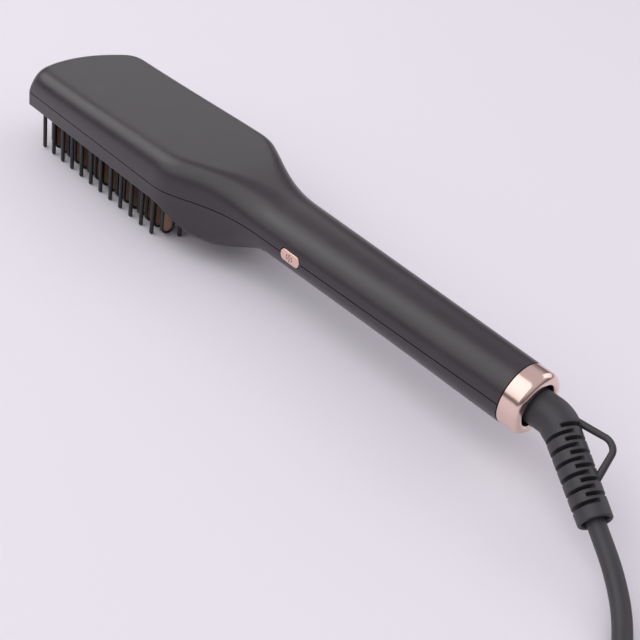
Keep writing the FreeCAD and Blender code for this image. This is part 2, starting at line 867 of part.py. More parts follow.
def make_power_button():
    """The key: a proud rounded face, a flange behind the shell and a stem on the switch."""
    face = -button_skin - button_proud
    flange_front = -button_skin + button_flange_depth
    flange_back = flange_front + button_flange_thickness
    key = button_prism(0, face, flange_back)
    rim = [edge for edge in key.Edges if abs(edge.BoundBox.YMax - face) < inset_tolerance
           and edge.BoundBox.YLength < inset_tolerance]
    key = key.makeFillet(button_rim, rim)
    flange = button_prism(button_flange, flange_front, flange_back)
    stem = rod(V(button_place, flange_back, 0), Y_DIR, button_stem_radius, button_stem_length)
    return key.fuse([flange, stem]).removeSplitter()


def turned(profile):
    """A solid of revolution about the handle's axis from (x, radius) points."""
    points = [V(x, 0, radius) for x, radius in profile]
    face = Part.Face(Part.makePolygon(points + [points[0]]))
    return face.revolve(V(0, 0, 0), X_DIR, 360)


def make_end_ring():
    """The polished ring: a spigot in the casing, a rounded end and the hole for the boot."""
    end = handle_end + ring_length
    spigot = handle_end_radius - shell_wall - spigot_clearance
    ring = turned([
        (handle_end - ring_spigot, ring_bore_radius), (handle_end - ring_spigot, spigot), (handle_end, spigot),
        (handle_end, handle_end_radius), (end, handle_end_radius), (end, ring_hole_radius),
        (end - ring_lip, ring_hole_radius), (end - ring_lip, ring_bore_radius)])
    rims = [edge for edge in ring.Edges if edge.BoundBox.XMin > end - inset_tolerance]
    outer = [edge for edge in rims if edge.BoundBox.ZMax > handle_end_radius - inset_tolerance]
    inner = [edge for edge in rims if edge.BoundBox.ZMax < ring_hole_radius + inset_tolerance]
    return ring.makeFillet(ring_round, outer).makeFillet(ring_inner_round, inner)


def make_swivel_bush():
    """The bearing sleeve behind the ring's lip."""
    front = spool_axis_front
    outer = ring_bore_radius - bush_clearance
    return turned([(front - bush_length, bush_bore_radius), (front - bush_length, outer), (front, outer),
                   (front, bush_bore_radius)])


bush_back = spool_axis_front - bush_length
flange_back = bush_back - spool_end_gap - spool_flange_thickness
boot_root = spool_axis_front + boot_root_gap
spool_front = boot_root + boot_socket_depth


def make_swivel_spool():
    """The turning core: a journal in the bush, a flange behind it and a nose inside the boot."""
    return turned([
        (flange_back - spool_tail, 0), (flange_back - spool_tail, spool_radius), (flange_back, spool_radius),
        (flange_back, spool_flange_radius), (flange_back + spool_flange_thickness, spool_flange_radius),
        (flange_back + spool_flange_thickness, spool_radius), (boot_root, spool_radius),
        (boot_root, boot_socket_radius), (spool_front, boot_socket_radius), (spool_front, 0)])


slip_ring_places = [flange_back - slip_ring_offset - slip_ring_width,
                    flange_back - slip_ring_offset - 2 * slip_ring_width - slip_ring_gap]


def make_slip_rings():
    """Two copper tracks on the spool's tail."""
    rings = []
    for start in slip_ring_places:
        outer = spool_radius + slip_ring_thickness
        rings.append(turned([(start, spool_radius), (start, outer), (start + slip_ring_width, outer),
                             (start + slip_ring_width, spool_radius)]))
    return Part.makeCompound(rings)


contact_level = -(spool_radius + slip_ring_thickness + contact_gap)
block_front = flange_back - spool_tail - spool_end_gap


def make_contact_springs():
    """Two brass leaves that run under the tracks from the contact block."""
    leaves = []
    for start, way in zip(slip_ring_places, (-1, 1)):
        y = way * contact_width
        leaves.append(box(block_front - block_length, start + slip_ring_width, y - contact_width / 2,
                          y + contact_width / 2, contact_level - contact_thickness, contact_level))
    return Part.makeCompound(leaves)


def make_contact_block():
    """The insulating block that holds the contact leaves, seated in the lower shell."""
    low = contact_level - contact_thickness
    wide = 2 * contact_width
    block = box(block_front - block_length, block_front, -wide, wide, contact_level - block_height,
                contact_level + block_height)
    block = block.common(low_solid(shell_wall))
    slots = []
    for way in (-1, 1):
        y = way * contact_width
        slots.append(box(block_front - block_length - overrun, block_front + overrun, y - contact_width / 2,
                         y + contact_width / 2, low, contact_level))
    return block.cut(Part.makeCompound(slots))


def swung(shape):
    """Turns a piece from the plane Y = 0 to the way the boot hangs."""
    return shape.rotated(V(0, 0, 0), X_DIR, -math.degrees(swing))


def in_plane(x, drop):
    """A point in the boot's own plane, drop below the handle's axis."""
    return V(x, 0, -drop)


elbow_start = boot_root + boot_straight
elbow_x = elbow_start + elbow_radius * math.sin(elbow_angle)
elbow_drop = elbow_radius * (1 - math.cos(elbow_angle))
sleeve_way = V(math.cos(elbow_angle), 0, -math.sin(elbow_angle))
sleeve_side = V(math.sin(elbow_angle), 0, math.cos(elbow_angle))
sleeve_root = in_plane(elbow_x, elbow_drop)
sleeve_end = sleeve_root + sleeve_way * sleeve_length


def sleeve_radius(along):
    """Radius of the tapering sleeve."""
    return sleeve_start_radius + (sleeve_end_radius - sleeve_start_radius) * along / sleeve_length


def make_cord_boot():
    """The strain relief: a bent root and a tapering sleeve with staggered half-round slots."""
    half = elbow_angle / 2
    middle = in_plane(elbow_start + elbow_radius * math.sin(half), elbow_radius * (1 - math.cos(half)))
    start = in_plane(elbow_start, 0)
    path = Part.Wire([Part.LineSegment(in_plane(boot_root, 0), start).toShape(),
                      Part.Arc(start, middle, sleeve_root).toShape()])
    boot = tube(path, boot_radius)
    sleeve = Part.makeCone(boot_radius, sleeve_start_radius, sleeve_taper, sleeve_root, sleeve_way)
    taper_root = sleeve_root + sleeve_way * sleeve_taper
    sleeve = sleeve.fuse(Part.makeCone(sleeve_start_radius, sleeve_end_radius, sleeve_length - sleeve_taper,
                                       taper_root, sleeve_way))
    boot = boot.fuse(sleeve)
    boot = boot.cut(rod(in_plane(boot_root - overrun, 0), X_DIR, boot_socket_radius, boot_socket_depth + overrun))
    mouth = sleeve_end - sleeve_way * mouth_depth
    boot = boot.cut(rod(mouth, sleeve_way, mouth_radius, mouth_depth + overrun))
    cuts = []
    for index in range(slot_count):
        for way, stagger in ((-1, 0), (1, slot_stagger_share)):
            along = slot_first + slot_pitch * (index + stagger)
            cuts.append(boot_slot(along, way))
    return swung(boot.cut(Part.makeCompound(cuts)))


def boot_slot(along, way):
    """One flexing slot: a part ring cut in from one side of the sleeve, past its middle."""
    radius = sleeve_radius(along)
    base = sleeve_root + sleeve_way * along
    ring = rod(base, sleeve_way, radius + overrun, slot_width)
    ring = ring.cut(rod(base - sleeve_way * overrun, sleeve_way, radius - slot_depth, slot_width + 2 * overrun))
    big = radius + 2 * overrun
    cut_way = (sleeve_side * math.sin(slot_turn) - Y_DIR * math.cos(slot_turn)) * way
    across = cut_way.cross(sleeve_way)
    corner = base - sleeve_way * overrun - across * big - cut_way * slot_past_middle
    keep = Part.makeBox(2 * big, big + slot_past_middle, slot_width + 2 * overrun)
    keep.Placement = FreeCAD.Placement(corner, FreeCAD.Rotation(across, cut_way, sleeve_way, "ZXY"))
    return ring.common(keep)


def loop_route():
    """Corners of the hanging loop in the boot's plane, on the outside of the bend."""
    root = sleeve_root + sleeve_way * loop_root_in
    foot = sleeve_root + sleeve_way * loop_root_out
    inner = root + sleeve_side * (sleeve_radius(loop_root_in) - loop_sink)
    outer = foot + sleeve_side * (sleeve_radius(loop_root_out) - loop_sink)
    apex = sleeve_root + sleeve_way * loop_apex + sleeve_side * (sleeve_radius(loop_apex) + loop_reach)
    return [inner, apex - sleeve_way * loop_apex_width, apex + sleeve_way * loop_apex_width, outer]


def make_hanging_loop(boot):
    """The bent loop whose two ends are moulded into the boot."""
    return swung(wire_tube(loop_route(), loop_radius)).cut(boot)


stub_end = sleeve_end + sleeve_way * stub_out
route_points = [V(*point) for point in route]


def make_cord_stub():
    """The lead inside the boot's mouth, as far as the stretch that lies free."""
    start = sleeve_end - sleeve_way * mouth_depth
    return swung(rod(start, sleeve_way, cord_radius, mouth_depth + stub_out))


def free_route():
    """Points of the free lead, from the stub to the coil."""
    turn = FreeCAD.Rotation(X_DIR, -math.degrees(swing))
    way = turn.multVec(sleeve_way)
    start = turn.multVec(stub_end) + way * stub_gap
    lead_in = coil_point(0) - coil_tangent(0) * coil_lead
    return [start, start + way * route_first] + route_points + [lead_in]


coil_floor = cord_radius + cord_lift + tie_thickness + tie_gap - pin_reach
coil_turns = 2 * coil_turns_a_layer + coil_climb_turns
coil_left = V(-math.sin(coil_heading), math.cos(coil_heading), 0)
coil_centre = V(coil_start_x, coil_start_y, coil_floor) + coil_left * coil_outer_radius


def coil_radius(turn):
    """Radius of the coil's centreline: in at a steady rate, and out again from the middle turn."""
    return coil_outer_radius - coil_pitch * (coil_turns / 2 - abs(turn - coil_turns / 2))


def coil_angle(turn):
    """Angle round the coil's centre after so many turns."""
    return coil_heading - math.pi / 2 + 2 * math.pi * turn


def coil_point(turn):
    """A point of the coil's centreline: in along the floor, up a layer, and out again."""
    rise = coil_layer * smooth(coil_turns_a_layer, coil_turns_a_layer + coil_climb_turns, turn)
    angle = coil_angle(turn)
    return coil_centre + V(math.cos(angle), math.sin(angle), 0) * coil_radius(turn) + V(0, 0, rise)


def coil_tangent(turn):
    """Direction of the coil's centreline."""
    before = max(turn - turn_step, 0)
    after = min(turn + turn_step, coil_turns)
    return (coil_point(after) - coil_point(before)).normalize()


def biarc(start, start_way, end, end_way):
    """Two arcs that join two points and leave both in the given directions."""
    gap = end - start
    ways = start_way + end_way
    a = ways.dot(ways) - 4
    b = -2 * gap.dot(ways)
    c = gap.dot(gap)
    root = math.sqrt(b * b - 4 * a * c)
    reach = max((-b + root) / (2 * a), (-b - root) / (2 * a))
    joint = (start + start_way * reach + end - end_way * reach) * 0.5
    return [arc_from(start, start_way, joint), arc_from(end, end_way * -1, joint)]


def arc_from(start, way, end):
    """An arc that leaves start in the given direction and reaches end."""
    chord = end - start
    across = chord - way * chord.dot(way)
    normal = V(across).normalize()
    radius = chord.dot(chord) / (2 * across.Length)
    centre = start + normal * radius
    middle = (start + end) * 0.5 - centre
    return Part.Arc(start, centre + middle.normalize() * radius, end).toShape()


def make_cord_coil():
    """The lead put away: a flat two-layer coil that spirals in on the floor and out on top."""
    lead_in = coil_point(0) - coil_tangent(0) * coil_lead
    edges = [Part.LineSegment(lead_in, coil_point(0)).toShape()]
    steps = round(coil_turns * coil_steps_a_turn)
    for step in range(steps):
        before = coil_turns * step / steps
        after = coil_turns * (step + 1) / steps
        arcs = biarc(coil_point(before), coil_tangent(before), coil_point(after), coil_tangent(after))
        edges += arcs
    path = Part.Wire(Part.__sortEdges__(edges))
    coil = tube(path, cord_radius)
    report_coil(path, coil)
    return coil, path.Length


def report_coil(path, coil):
    """Prints the coil's length, its volume against its section, and its least gap to itself."""
    expected = math.pi * cord_radius ** 2 * path.Length
    samples = path.discretize(Number=coil_samples)
    least = path.Length
    for index, point in enumerate(samples):
        for other in samples[index + coil_apart:]:
            least = min(least, (point - other).Length - 2 * cord_radius)
    print("coil length", round(path.Length, 1), "volume share", round(coil.Volume / expected, 5),
          "least gap", round(least, 2))


def make_cord_run():
    """The lead from the boot to the coil."""
    points = free_route()
    path, radii = rounded_route(points)
    run = tube(path, cord_radius)
    expected = math.pi * cord_radius ** 2 * path.Length
    print("cord radii", [round(radius, 1) for radius in radii])
    print("cord run length", round(path.Length, 1), "volume share", round(run.Volume / expected, 5))
    return run, path.Length


def tail_points():
    """Points of the lead from the coil's end, round and up onto the coil to the plug's neck."""
    start = coil_point(coil_turns)
    way = coil_tangent(coil_turns)
    climb = cord_radius + plug_gap + plug_thickness / 2
    points = [start, start + way * tail_first_run]
    heading = math.atan2(way.y, way.x)
    for index in range(tail_runs):
        heading += tail_turn if index else tail_first_turn
        level = start.z + climb * smooth(0, tail_climb_runs, index + 1)
        last = points[-1]
        points.append(V(last.x + tail_run * math.cos(heading), last.y + tail_run * math.sin(heading), level))
    return points, heading


def make_cord_tail():
    """The lead from the coil to the plug, which lies on the coil."""
    points, heading = tail_points()
    path, radii = rounded_route(points)
    tail = tube(path, cord_radius)
    print("tail radii", [round(radius, 1) for radius in radii], "length", round(path.Length, 1))
    return tail, points[-1], heading, path.Length


def laid(shape, place, heading):
    """Turns a piece drawn along X to a heading and sets it at a place."""
    shape = shape.rotated(V(0, 0, 0), Z_DIR, math.degrees(heading))
    return shape.translated(place)


def make_plug(place, heading):
    """The two-pin plug: a flat body with a round neck, and its two pins."""
    half = plug_thickness / 2
    neck = Part.makeCone(plug_neck_radius, half, plug_neck_length, V(0, 0, 0), X_DIR)
    body = rounded_plate(plug_neck_length - plug_corner, plug_neck_length + plug_length, plug_width / 2,
                         plug_corner, -half, half)
    body = neck.fuse(body).removeSplitter()
    body = body.cut(rod(V(-overrun, 0, 0), X_DIR, cord_radius, plug_socket_depth + overrun))
    nose = plug_neck_length + plug_length
    prongs = []
    for way in (-1, 1):
        y = way * prong_spacing / 2
        root = rod(V(nose - prong_seat, y, 0), X_DIR, prong_sleeve_radius, prong_seat + prong_sleeve_length)
        metal = prong_length - prong_sleeve_length - prong_radius
        prong = rod(V(nose + prong_sleeve_length, y, 0), X_DIR, prong_radius, metal)
        ball = Part.makeSphere(prong_radius, V(nose + prong_length - prong_radius, y, 0))
        prongs.append(root.fuse([prong, ball]).removeSplitter())
    group = Part.makeCompound(prongs)
    return laid(body.cut(group), place, heading), laid(group, place, heading)


def make_cord_tie():
    """A flat strap round the coil's turns."""
    inner = coil_radius(coil_turns / 2) - cord_radius - tie_gap
    crossings = [coil_radius(tie_turn + turn) for turn in range(math.ceil(coil_turns - tie_turn))]
    outer = max(crossings) + cord_radius + tie_gap
    low = -cord_radius - tie_gap
    high = coil_layer + cord_radius + tie_gap
    half = tie_width / 2
    band = box(inner - tie_thickness, outer + tie_thickness, -half, half, low - tie_thickness, high + tie_thickness)
    band = band.cut(box(inner, outer, -half - overrun, half + overrun, low, high))
    return laid(band, coil_centre, coil_angle(tie_turn))


def make_heater_leads():
    """Two insulated wires from the heater tiles to the board."""
    leads = []
    start = heater_centre + heater_half_span
    low = plate_top + heater_thickness / 2
    heater_end = board_half_width - heater_lead_edge
    for way in (-1, 1):
        side = way * (clamp_width / 2 + heater_lead_radius + lead_gap)
        inner = way * heater_lead_inner
        points = [V(start, side, low), V(start + clamp_overhang + lead_gap + heater_lead_radius, side, low),
                  V(lead_neck, inner, lead_lift), V(board_front - board_screw_inset, inner, lead_lift),
                  V(board_front + board_screw_inset, way * heater_end, board_top + heater_lead_radius)]
        leads.append(wire_tube(points, heater_lead_radius))
    return Part.makeCompound(leads)


def make_sensor_leads():
    """The sensor's thin pair, one wire above the other, from the bead to the board."""
    leads = []
    start = heater_centre + thermistor_length / 2
    level = plate_top + thermistor_radius
    for way in (-1, 1):
        spread = way * sensor_lead_spread
        points = [V(start, thermistor_offset, level + spread),
                  V(heater_centre + heater_half_span + thermistor_length, thermistor_offset, level + spread),
                  V(lead_neck, sensor_lead_inner, lead_lift + spread),
                  V(board_front - board_screw_inset, sensor_lead_inner, lead_lift + spread),
                  V(board_front + board_screw_inset, board_half_width - sensor_lead_edge + spread,
                    board_top + sensor_lead_radius)]
        leads.append(wire_tube(points, sensor_lead_radius))
    return Part.makeCompound(leads)


def make_mains_leads():
    """Two wires from the contact block to the board's end."""
    leads = []
    for way in (-1, 1):
        y = way * contact_width
        level = contact_level - contact_thickness / 2
        start = V(block_front - block_length, y, level)
        side = way * (boss_radius + shell_wall + mains_lead_radius)
        points = [start, V(start.x - block_length / 2, y, level), V(case_screw_rear, side, level / 2),
                  V(board_rear + part_gap, side, 0), V(board_rear - part_gap, side, board_under - mains_lead_radius)]
        leads.append(wire_tube(points, mains_lead_radius))
    return Part.makeCompound(leads)


def make_all():
    """Every piece by its node name, still in the design frame."""
    pieces = {
        "top_cover": make_top_cover(),
        "bottom_cover": make_bottom_cover(),
        "bristle_frame": make_bristle_frame(),
        "bristle_pins": make_bristle_pins(),
        "guard_combs": make_guard_combs(),
        "heating_fins": make_heating_fins(),
        "heating_plate": make_heating_plate(),
        "ceramic_heaters": make_ceramic_heaters(),
        "insulation_sheet": make_insulation_sheet(),
        "heater_clamp": make_heater_clamp(),
        "thermistor": make_thermistor(),
        "thermal_fuse": make_thermal_fuse(),
        "circuit_board": make_circuit_board(),
        "board_components": make_board_components(),
        "tact_switch": make_tact_switch(),
        "switch_plunger": make_switch_plunger(),
        "power_button": make_power_button(),
        "end_ring": make_end_ring(),
        "swivel_bush": make_swivel_bush(),
        "swivel_spool": make_swivel_spool(),
        "slip_rings": make_slip_rings(),
        "contact_springs": make_contact_springs(),
        "contact_block": make_contact_block(),
        "heater_leads": make_heater_leads(),
        "sensor_leads": make_sensor_leads(),
        "mains_leads": make_mains_leads(),
    }
    pieces["plate_screws"] = Part.makeCompound(
        [screw(x, y, plate_bottom, plate_screw_length, True) for x, y in plate_screw_places])
    pieces["case_screws"] = Part.makeCompound(
        [screw(x, y, case_seat(x), case_screw_length, True) for x, y in case_screw_places])
    pieces["board_screws"] = Part.makeCompound(
        [screw(x, y, board_under, board_screw_length, True) for x, y in board_screw_places])
    pieces["cord_boot"] = make_cord_boot()
    pieces["hanging_loop"] = make_hanging_loop(pieces["cord_boot"])
    pieces["cord_stub"] = make_cord_stub()
    pieces["cord_run"], run_length = make_cord_run()
    pieces["cord_coil"], coil_length = make_cord_coil()
    pieces["cord_tail"], tail_end, heading, tail_length = make_cord_tail()
    pieces["plug_body"], pieces["plug_pins"] = make_plug(tail_end, heading)
    pieces["cord_tie"] = make_cord_tie()
    print("lead from boot to plug", round(stub_out + run_length + coil_length + tail_length, 1))
    return pieces


def main():
    """Builds the pieces, moves them to the part's frame and writes one file each."""
    os.makedirs("parts", exist_ok=True)
    middle = (spool_front - tip_sagitta) / 2
    for name, shape in make_all().items():
        shape.translate(V(-middle, 0, pin_reach))
        shape.exportStep("parts/" + name + ".step")
        print(name, "solids", len(shape.Solids), "valid", shape.isValid(), "volume", round(shape.Volume, 1))


main()
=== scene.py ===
"""Dresses the heated styling brush: soft-touch shells, bristle field, plated ring, boot and mains lead.

The classes hold their sizes in millimetres in the drawing's frame, and turns in radians. Angles for sharp
edges are in degrees. The table, the lamps and what belongs to a finish are in metres.
"""
import logging
import math
from dataclasses import dataclass, field
from enum import Enum
from typing import Callable, Iterable, Sequence

import bmesh
import bpy
import numpy as np
from mathutils import Matrix, Vector


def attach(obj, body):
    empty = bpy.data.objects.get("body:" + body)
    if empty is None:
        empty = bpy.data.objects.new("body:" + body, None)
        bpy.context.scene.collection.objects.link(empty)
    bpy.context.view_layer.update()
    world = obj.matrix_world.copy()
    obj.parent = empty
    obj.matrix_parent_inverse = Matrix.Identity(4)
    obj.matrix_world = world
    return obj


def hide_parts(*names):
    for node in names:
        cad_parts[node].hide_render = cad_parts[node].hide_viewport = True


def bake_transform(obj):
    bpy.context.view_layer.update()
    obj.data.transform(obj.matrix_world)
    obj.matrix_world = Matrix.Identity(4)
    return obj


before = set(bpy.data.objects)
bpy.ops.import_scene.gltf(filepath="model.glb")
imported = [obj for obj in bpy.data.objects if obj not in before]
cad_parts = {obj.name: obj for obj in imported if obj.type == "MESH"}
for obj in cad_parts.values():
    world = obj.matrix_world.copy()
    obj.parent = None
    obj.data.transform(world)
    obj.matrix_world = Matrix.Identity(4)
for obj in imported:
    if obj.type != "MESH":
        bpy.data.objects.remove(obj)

logging.basicConfig(level=logging.INFO, format="%(message)s")
log = logging.getLogger("styling_brush")

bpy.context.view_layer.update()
MILLIMETRE = 0.001
# Millimetres: how far the row frame's origin lies along the drawing, and below its parting plane.
DESIGN_MIDDLE = 141.3
PIN_REACH = 28.6
# Metres: points this close are one, and edges this short are dropped.
MERGE_DISTANCE = 2e-6
EMPTY_EDGE = 1e-7
# Millimetres: a step along a line, and a cross product, that count as none.
SAME_SPOT = 1e-9
NO_LENGTH = 1e-6
# Degrees: the usual angle past which an edge stays sharp.
SHARP_ANGLE = 40.0
QUARTER_TURN = math.pi / 2
FULL_TURN = 2 * math.pi
Flat = tuple[float, float]
Point = tuple[float, float, float]
Color = tuple[float, float, float]
Quad = tuple[int, int, int, int]


class Body(Enum):
    """The rigid bodies that a piece can ride on."""

    HANDLE = "handle"
    BUTTON = "button"
    SWIVEL = "swivel"


class Surface(Enum):
    """How a finish breaks up its colour."""

    GRAIN = "fine even grain"
    DRAWN = "grain drawn out along the brush"


def row_frame(points: np.ndarray) -> np.ndarray:
    """Moves points from the drawing's frame to the row frame.

    Args:
        points: Points in millimetres, with the parting plane at height 0 and the tip corners at length 0.

    Returns:
        The same points in metres in the row frame.
    """
    shifted = np.asarray(points, float) + np.array([-DESIGN_MIDDLE, 0.0, PIN_REACH])
    return shifted * MILLIMETRE


def smooth(start: float, end: float, x: float) -> float:
    """Runs from 0 at start to 1 at end with no kink."""
    share = min(max((x - start) / (end - start), 0.0), 1.0)
    return share * share * (3.0 - 2.0 * share)


def circle(steps: int) -> list[Flat]:
    """Cosine and sine at equal steps of a full turn."""
    angles = [FULL_TURN * step / steps for step in range(steps)]
    return [(math.cos(angle), math.sin(angle)) for angle in angles]


def quarter(steps: int) -> list[Flat]:
    """Cosine and sine at equal steps of a quarter turn, both ends included."""
    angles = [QUARTER_TURN * step / steps for step in range(steps + 1)]
    return [(math.cos(angle), math.sin(angle)) for angle in angles]


@dataclass(frozen=True)
class Finish:
    """One procedural finish, built on the Principled shader."""

    name: str
    color: Color
    roughness: float
    metallic: float = 0.0
    shade_spread: float = 0.12
    roughness_spread: float = 0.05
    least_roughness: float = 0.02
    grain_scale: float = 900.0
    grain_detail: float = 3.0
    drawn_share: float = 0.06
    cloud_grains: float = 25.0
    dark_below: float = 0.3
    light_above: float = 0.7
    bump: float = 0.03
    bump_distance: float = 0.0002
    coat: float = 0.0
    specular: float = 0.5
    surface: Surface = Surface.GRAIN

    def material(self) -> bpy.types.Material:
        """Makes the material once, and finds it again after that.

        Returns:
            The material with this finish's name.
        """
        known = bpy.data.materials.get(self.name)
        if known is not None:
            return known
        material = bpy.data.materials.new(self.name)
        material.use_nodes = True
        tree = material.node_tree
        shader = tree.nodes["Principled BSDF"]
        shader.inputs["Metallic"].default_value = self.metallic
        shader.inputs["Specular IOR Level"].default_value = self.specular
        shader.inputs["Coat Weight"].default_value = self.coat
        place = tree.nodes.new("ShaderNodeTexCoord")
        mapping = tree.nodes.new("ShaderNodeMapping")
        if self.surface is Surface.DRAWN:
            mapping.inputs["Scale"].default_value = (self.drawn_share, 1.0, 1.0)
        tree.links.new(place.outputs["Object"], mapping.inputs["Vector"])
        cloud = tree.nodes.new("ShaderNodeTexNoise")
        cloud.inputs["Scale"].default_value = self.grain_scale / self.cloud_grains
        tree.links.new(mapping.outputs["Vector"], cloud.inputs["Vector"])
        ramp = tree.nodes.new("ShaderNodeValToRGB")
        low, high = ramp.color_ramp.elements
        low.position = self.dark_below
        high.position = self.light_above
        low.color = tuple(channel * (1 - self.shade_spread) for channel in self.color) + (1.0,)
        high.color = tuple(min(channel * (1 + self.shade_spread), 1.0) for channel in self.color) + (1.0,)
        tree.links.new(cloud.outputs["Fac"], ramp.inputs["Fac"])
        tree.links.new(ramp.outputs["Color"], shader.inputs["Base Color"])
        gloss = tree.nodes.new("ShaderNodeMapRange")
        smoothest = max(self.roughness - self.roughness_spread, self.least_roughness)
        gloss.inputs["To Min"].default_value = smoothest
        gloss.inputs["To Max"].default_value = self.roughness + self.roughness_spread
        tree.links.new(cloud.outputs["Fac"], gloss.inputs["Value"])
        tree.links.new(gloss.outputs["Result"], shader.inputs["Roughness"])
        if self.bump > 0:
            grain = tree.nodes.new("ShaderNodeTexNoise")
            grain.inputs["Scale"].default_value = self.grain_scale
            grain.inputs["Detail"].default_value = self.grain_detail
            tree.links.new(mapping.outputs["Vector"], grain.inputs["Vector"])
            bump = tree.nodes.new("ShaderNodeBump")
            bump.inputs["Strength"].default_value = self.bump
            bump.inputs["Distance"].default_value = self.bump_distance
            tree.links.new(grain.outputs["Fac"], bump.inputs["Height"])
            tree.links.new(bump.outputs["Normal"], shader.inputs["Normal"])
        return material


SOFT_BLACK = Finish("soft-touch black paint", (0.0225, 0.0160, 0.0222), 0.34, bump=0.05,
                    grain_scale=2600.0, specular=0.7)
BLACK_NYLON = Finish("moulded black nylon", (0.020, 0.020, 0.021), 0.40, grain_scale=1500.0)
BRONZE_FIN = Finish("bronze coated tooth", (0.48, 0.29, 0.21), 0.42, metallic=0.35, surface=Surface.DRAWN)
ROSE_PLATE = Finish("polished rose gold plating", (0.86, 0.64, 0.57), 0.17, metallic=1.0, shade_spread=0.02,
                    roughness_spread=0.02, bump=0.0)
ROSE_SATIN = Finish("satin rose gold key", (0.86, 0.60, 0.50), 0.30, metallic=0.85, shade_spread=0.04)
ICON_BROWN = Finish("printed brown heat sign", (0.07, 0.035, 0.028), 0.6)
CORD_BLACK = Finish("flexible black cord", (0.041, 0.0375, 0.0435), 0.47, grain_scale=1200.0)
STRAP_BLACK = Finish("woven black strap", (0.018, 0.018, 0.019), 0.75, bump=0.3, grain_scale=1800.0)
PIN_METAL = Finish("nickel plated pin", (0.78, 0.77, 0.74), 0.2, metallic=1.0, shade_spread=0.03)
BARE_METAL = Finish("bare aluminium", (0.70, 0.70, 0.71), 0.35, metallic=1.0, surface=Surface.DRAWN)
STEEL = Finish("plated steel", (0.50, 0.50, 0.50), 0.32, metallic=1.0)
BRASS = Finish("sprung brass", (0.72, 0.52, 0.24), 0.3, metallic=1.0)
CERAMIC = Finish("white ceramic", (0.80, 0.79, 0.75), 0.4)
MICA = Finish("mica sheet", (0.55, 0.46, 0.32), 0.5)
BOARD = Finish("green board", (0.03, 0.17, 0.07), 0.45)
SLEEVE = Finish("white lead sleeve", (0.70, 0.70, 0.66), 0.55)
AMBER = Finish("amber bead", (0.55, 0.25, 0.08), 0.2, coat=0.5)
DARK_PART = Finish("dark moulded component", (0.03, 0.03, 0.03), 0.5)


def in_scene(name: str, data: bpy.types.ID) -> bpy.types.Object:
    """Makes an object at the origin and links it to the scene.

    Args:
        name: The object's name.
        data: Its mesh, curve, lamp or camera.

    Returns:
        The new object.
    """
    obj = bpy.data.objects.new(name, data)
    bpy.context.scene.collection.objects.link(obj)
    return obj


def new_object(name: str, points: np.ndarray, faces: Sequence[Sequence[int]], finish: Finish,
               sharp_angle: float = SHARP_ANGLE, outward: bool = True) -> bpy.types.Object:
    """Makes a mesh object at the origin from points in the drawing's frame.

    Args:
        name: The object's name.
        points: Points in millimetres in the drawing's frame.
        faces: Corner lists.
        finish: The piece's finish.
        sharp_angle: Edges steeper than this many degrees stay sharp.
        outward: Whether the faces are turned outwards after doubles are merged.

    Returns:
        The new object, linked to the scene.
    """
    mesh = bpy.data.meshes.new(name)
    mesh.from_pydata(row_frame(points).tolist(), [], [list(face) for face in faces])
    obj = in_scene(name, mesh)
    if outward:
        close_up(mesh)
    shade(mesh, sharp_angle)
    mesh.materials.append(finish.material())
    return obj


def close_up(mesh: bpy.types.Mesh) -> None:
    """Merges doubles, drops empty faces and turns all faces outwards.

    Args:
        mesh: The mesh to tidy.
    """
    work = bmesh.new()
    work.from_mesh(mesh)
    bmesh.ops.remove_doubles(work, verts=work.verts, dist=MERGE_DISTANCE)
    bmesh.ops.dissolve_degenerate(work, edges=work.edges, dist=EMPTY_EDGE)
    bmesh.ops.recalc_face_normals(work, faces=work.faces)
    work.to_mesh(mesh)
    work.free()


def shade(mesh: bpy.types.Mesh, sharp_angle: float) -> None:
    """Shades a mesh smooth, with sharp edges past an angle in degrees."""
    mesh.polygons.foreach_set("use_smooth", [True] * len(mesh.polygons))
    mesh.set_sharp_from_angle(angle=math.radians(sharp_angle))


def strip(first: Sequence[int], second: Sequence[int], closed: bool = False) -> list[Quad]:
    """Quads between two rows of the same number of points.

    Args:
        first: Indices of one row.
        second: Indices of the other row.
        closed: Whether the last point joins the first.

    Returns:
        The quads.
    """
    count = len(first) if closed else len(first) - 1
    faces = []
    for index in range(count):
        following = (index + 1) % len(first)
        faces.append((first[index], first[following], second[following], second[index]))
    return faces


class MeshRows:
    """Collects rows of points and the strips between them."""

    def __init__(self) -> None:
        """Starts with no points."""
        self.points: list[Sequence[float]] = []
        self.faces: list[Sequence[int]] = []

    def row(self, points: Iterable[Sequence[float]]) -> list[int]:
        """Adds a row of points.

        Args:
            points: The row's points.

        Returns:
            The row's indices.
        """
        start = len(self.points)
        self.points.extend([tuple(map(float, point)) for point in points])
        return list(range(start, len(self.points)))

    def join(self, rows: Sequence[Sequence[int]], closed: bool = False) -> None:
        """Adds the strips between neighbouring rows."""
        for first, second in zip(rows, rows[1:]):
            self.faces.extend(strip(first, second, closed))

    def cap(self, row: Sequence[int]) -> None:
        """Closes a row with a fan about its middle.

        Args:
            row: The row's indices.
        """
        middle = np.mean([self.points[index] for index in row], axis=0)
        hub = self.row([middle])[0]
        for index in range(len(row)):
            self.faces.append((row[index], row[(index + 1) % len(row)], hub))

    def tube(self, rows: Sequence[Sequence[int]]) -> None:
        """Joins closed rows into a tube and caps both its ends.

        Args:
            rows: Each row's indices, from one end to the other.
        """
        self.join(rows, closed=True)
        self.cap(rows[0])
        self.cap(rows[-1])

    def build(self, name: str, finish: Finish, sharp_angle: float = SHARP_ANGLE) -> bpy.types.Object:
        """Makes the object from what was collected."""
        return new_object(name, np.array(self.points), self.faces, finish, sharp_angle)


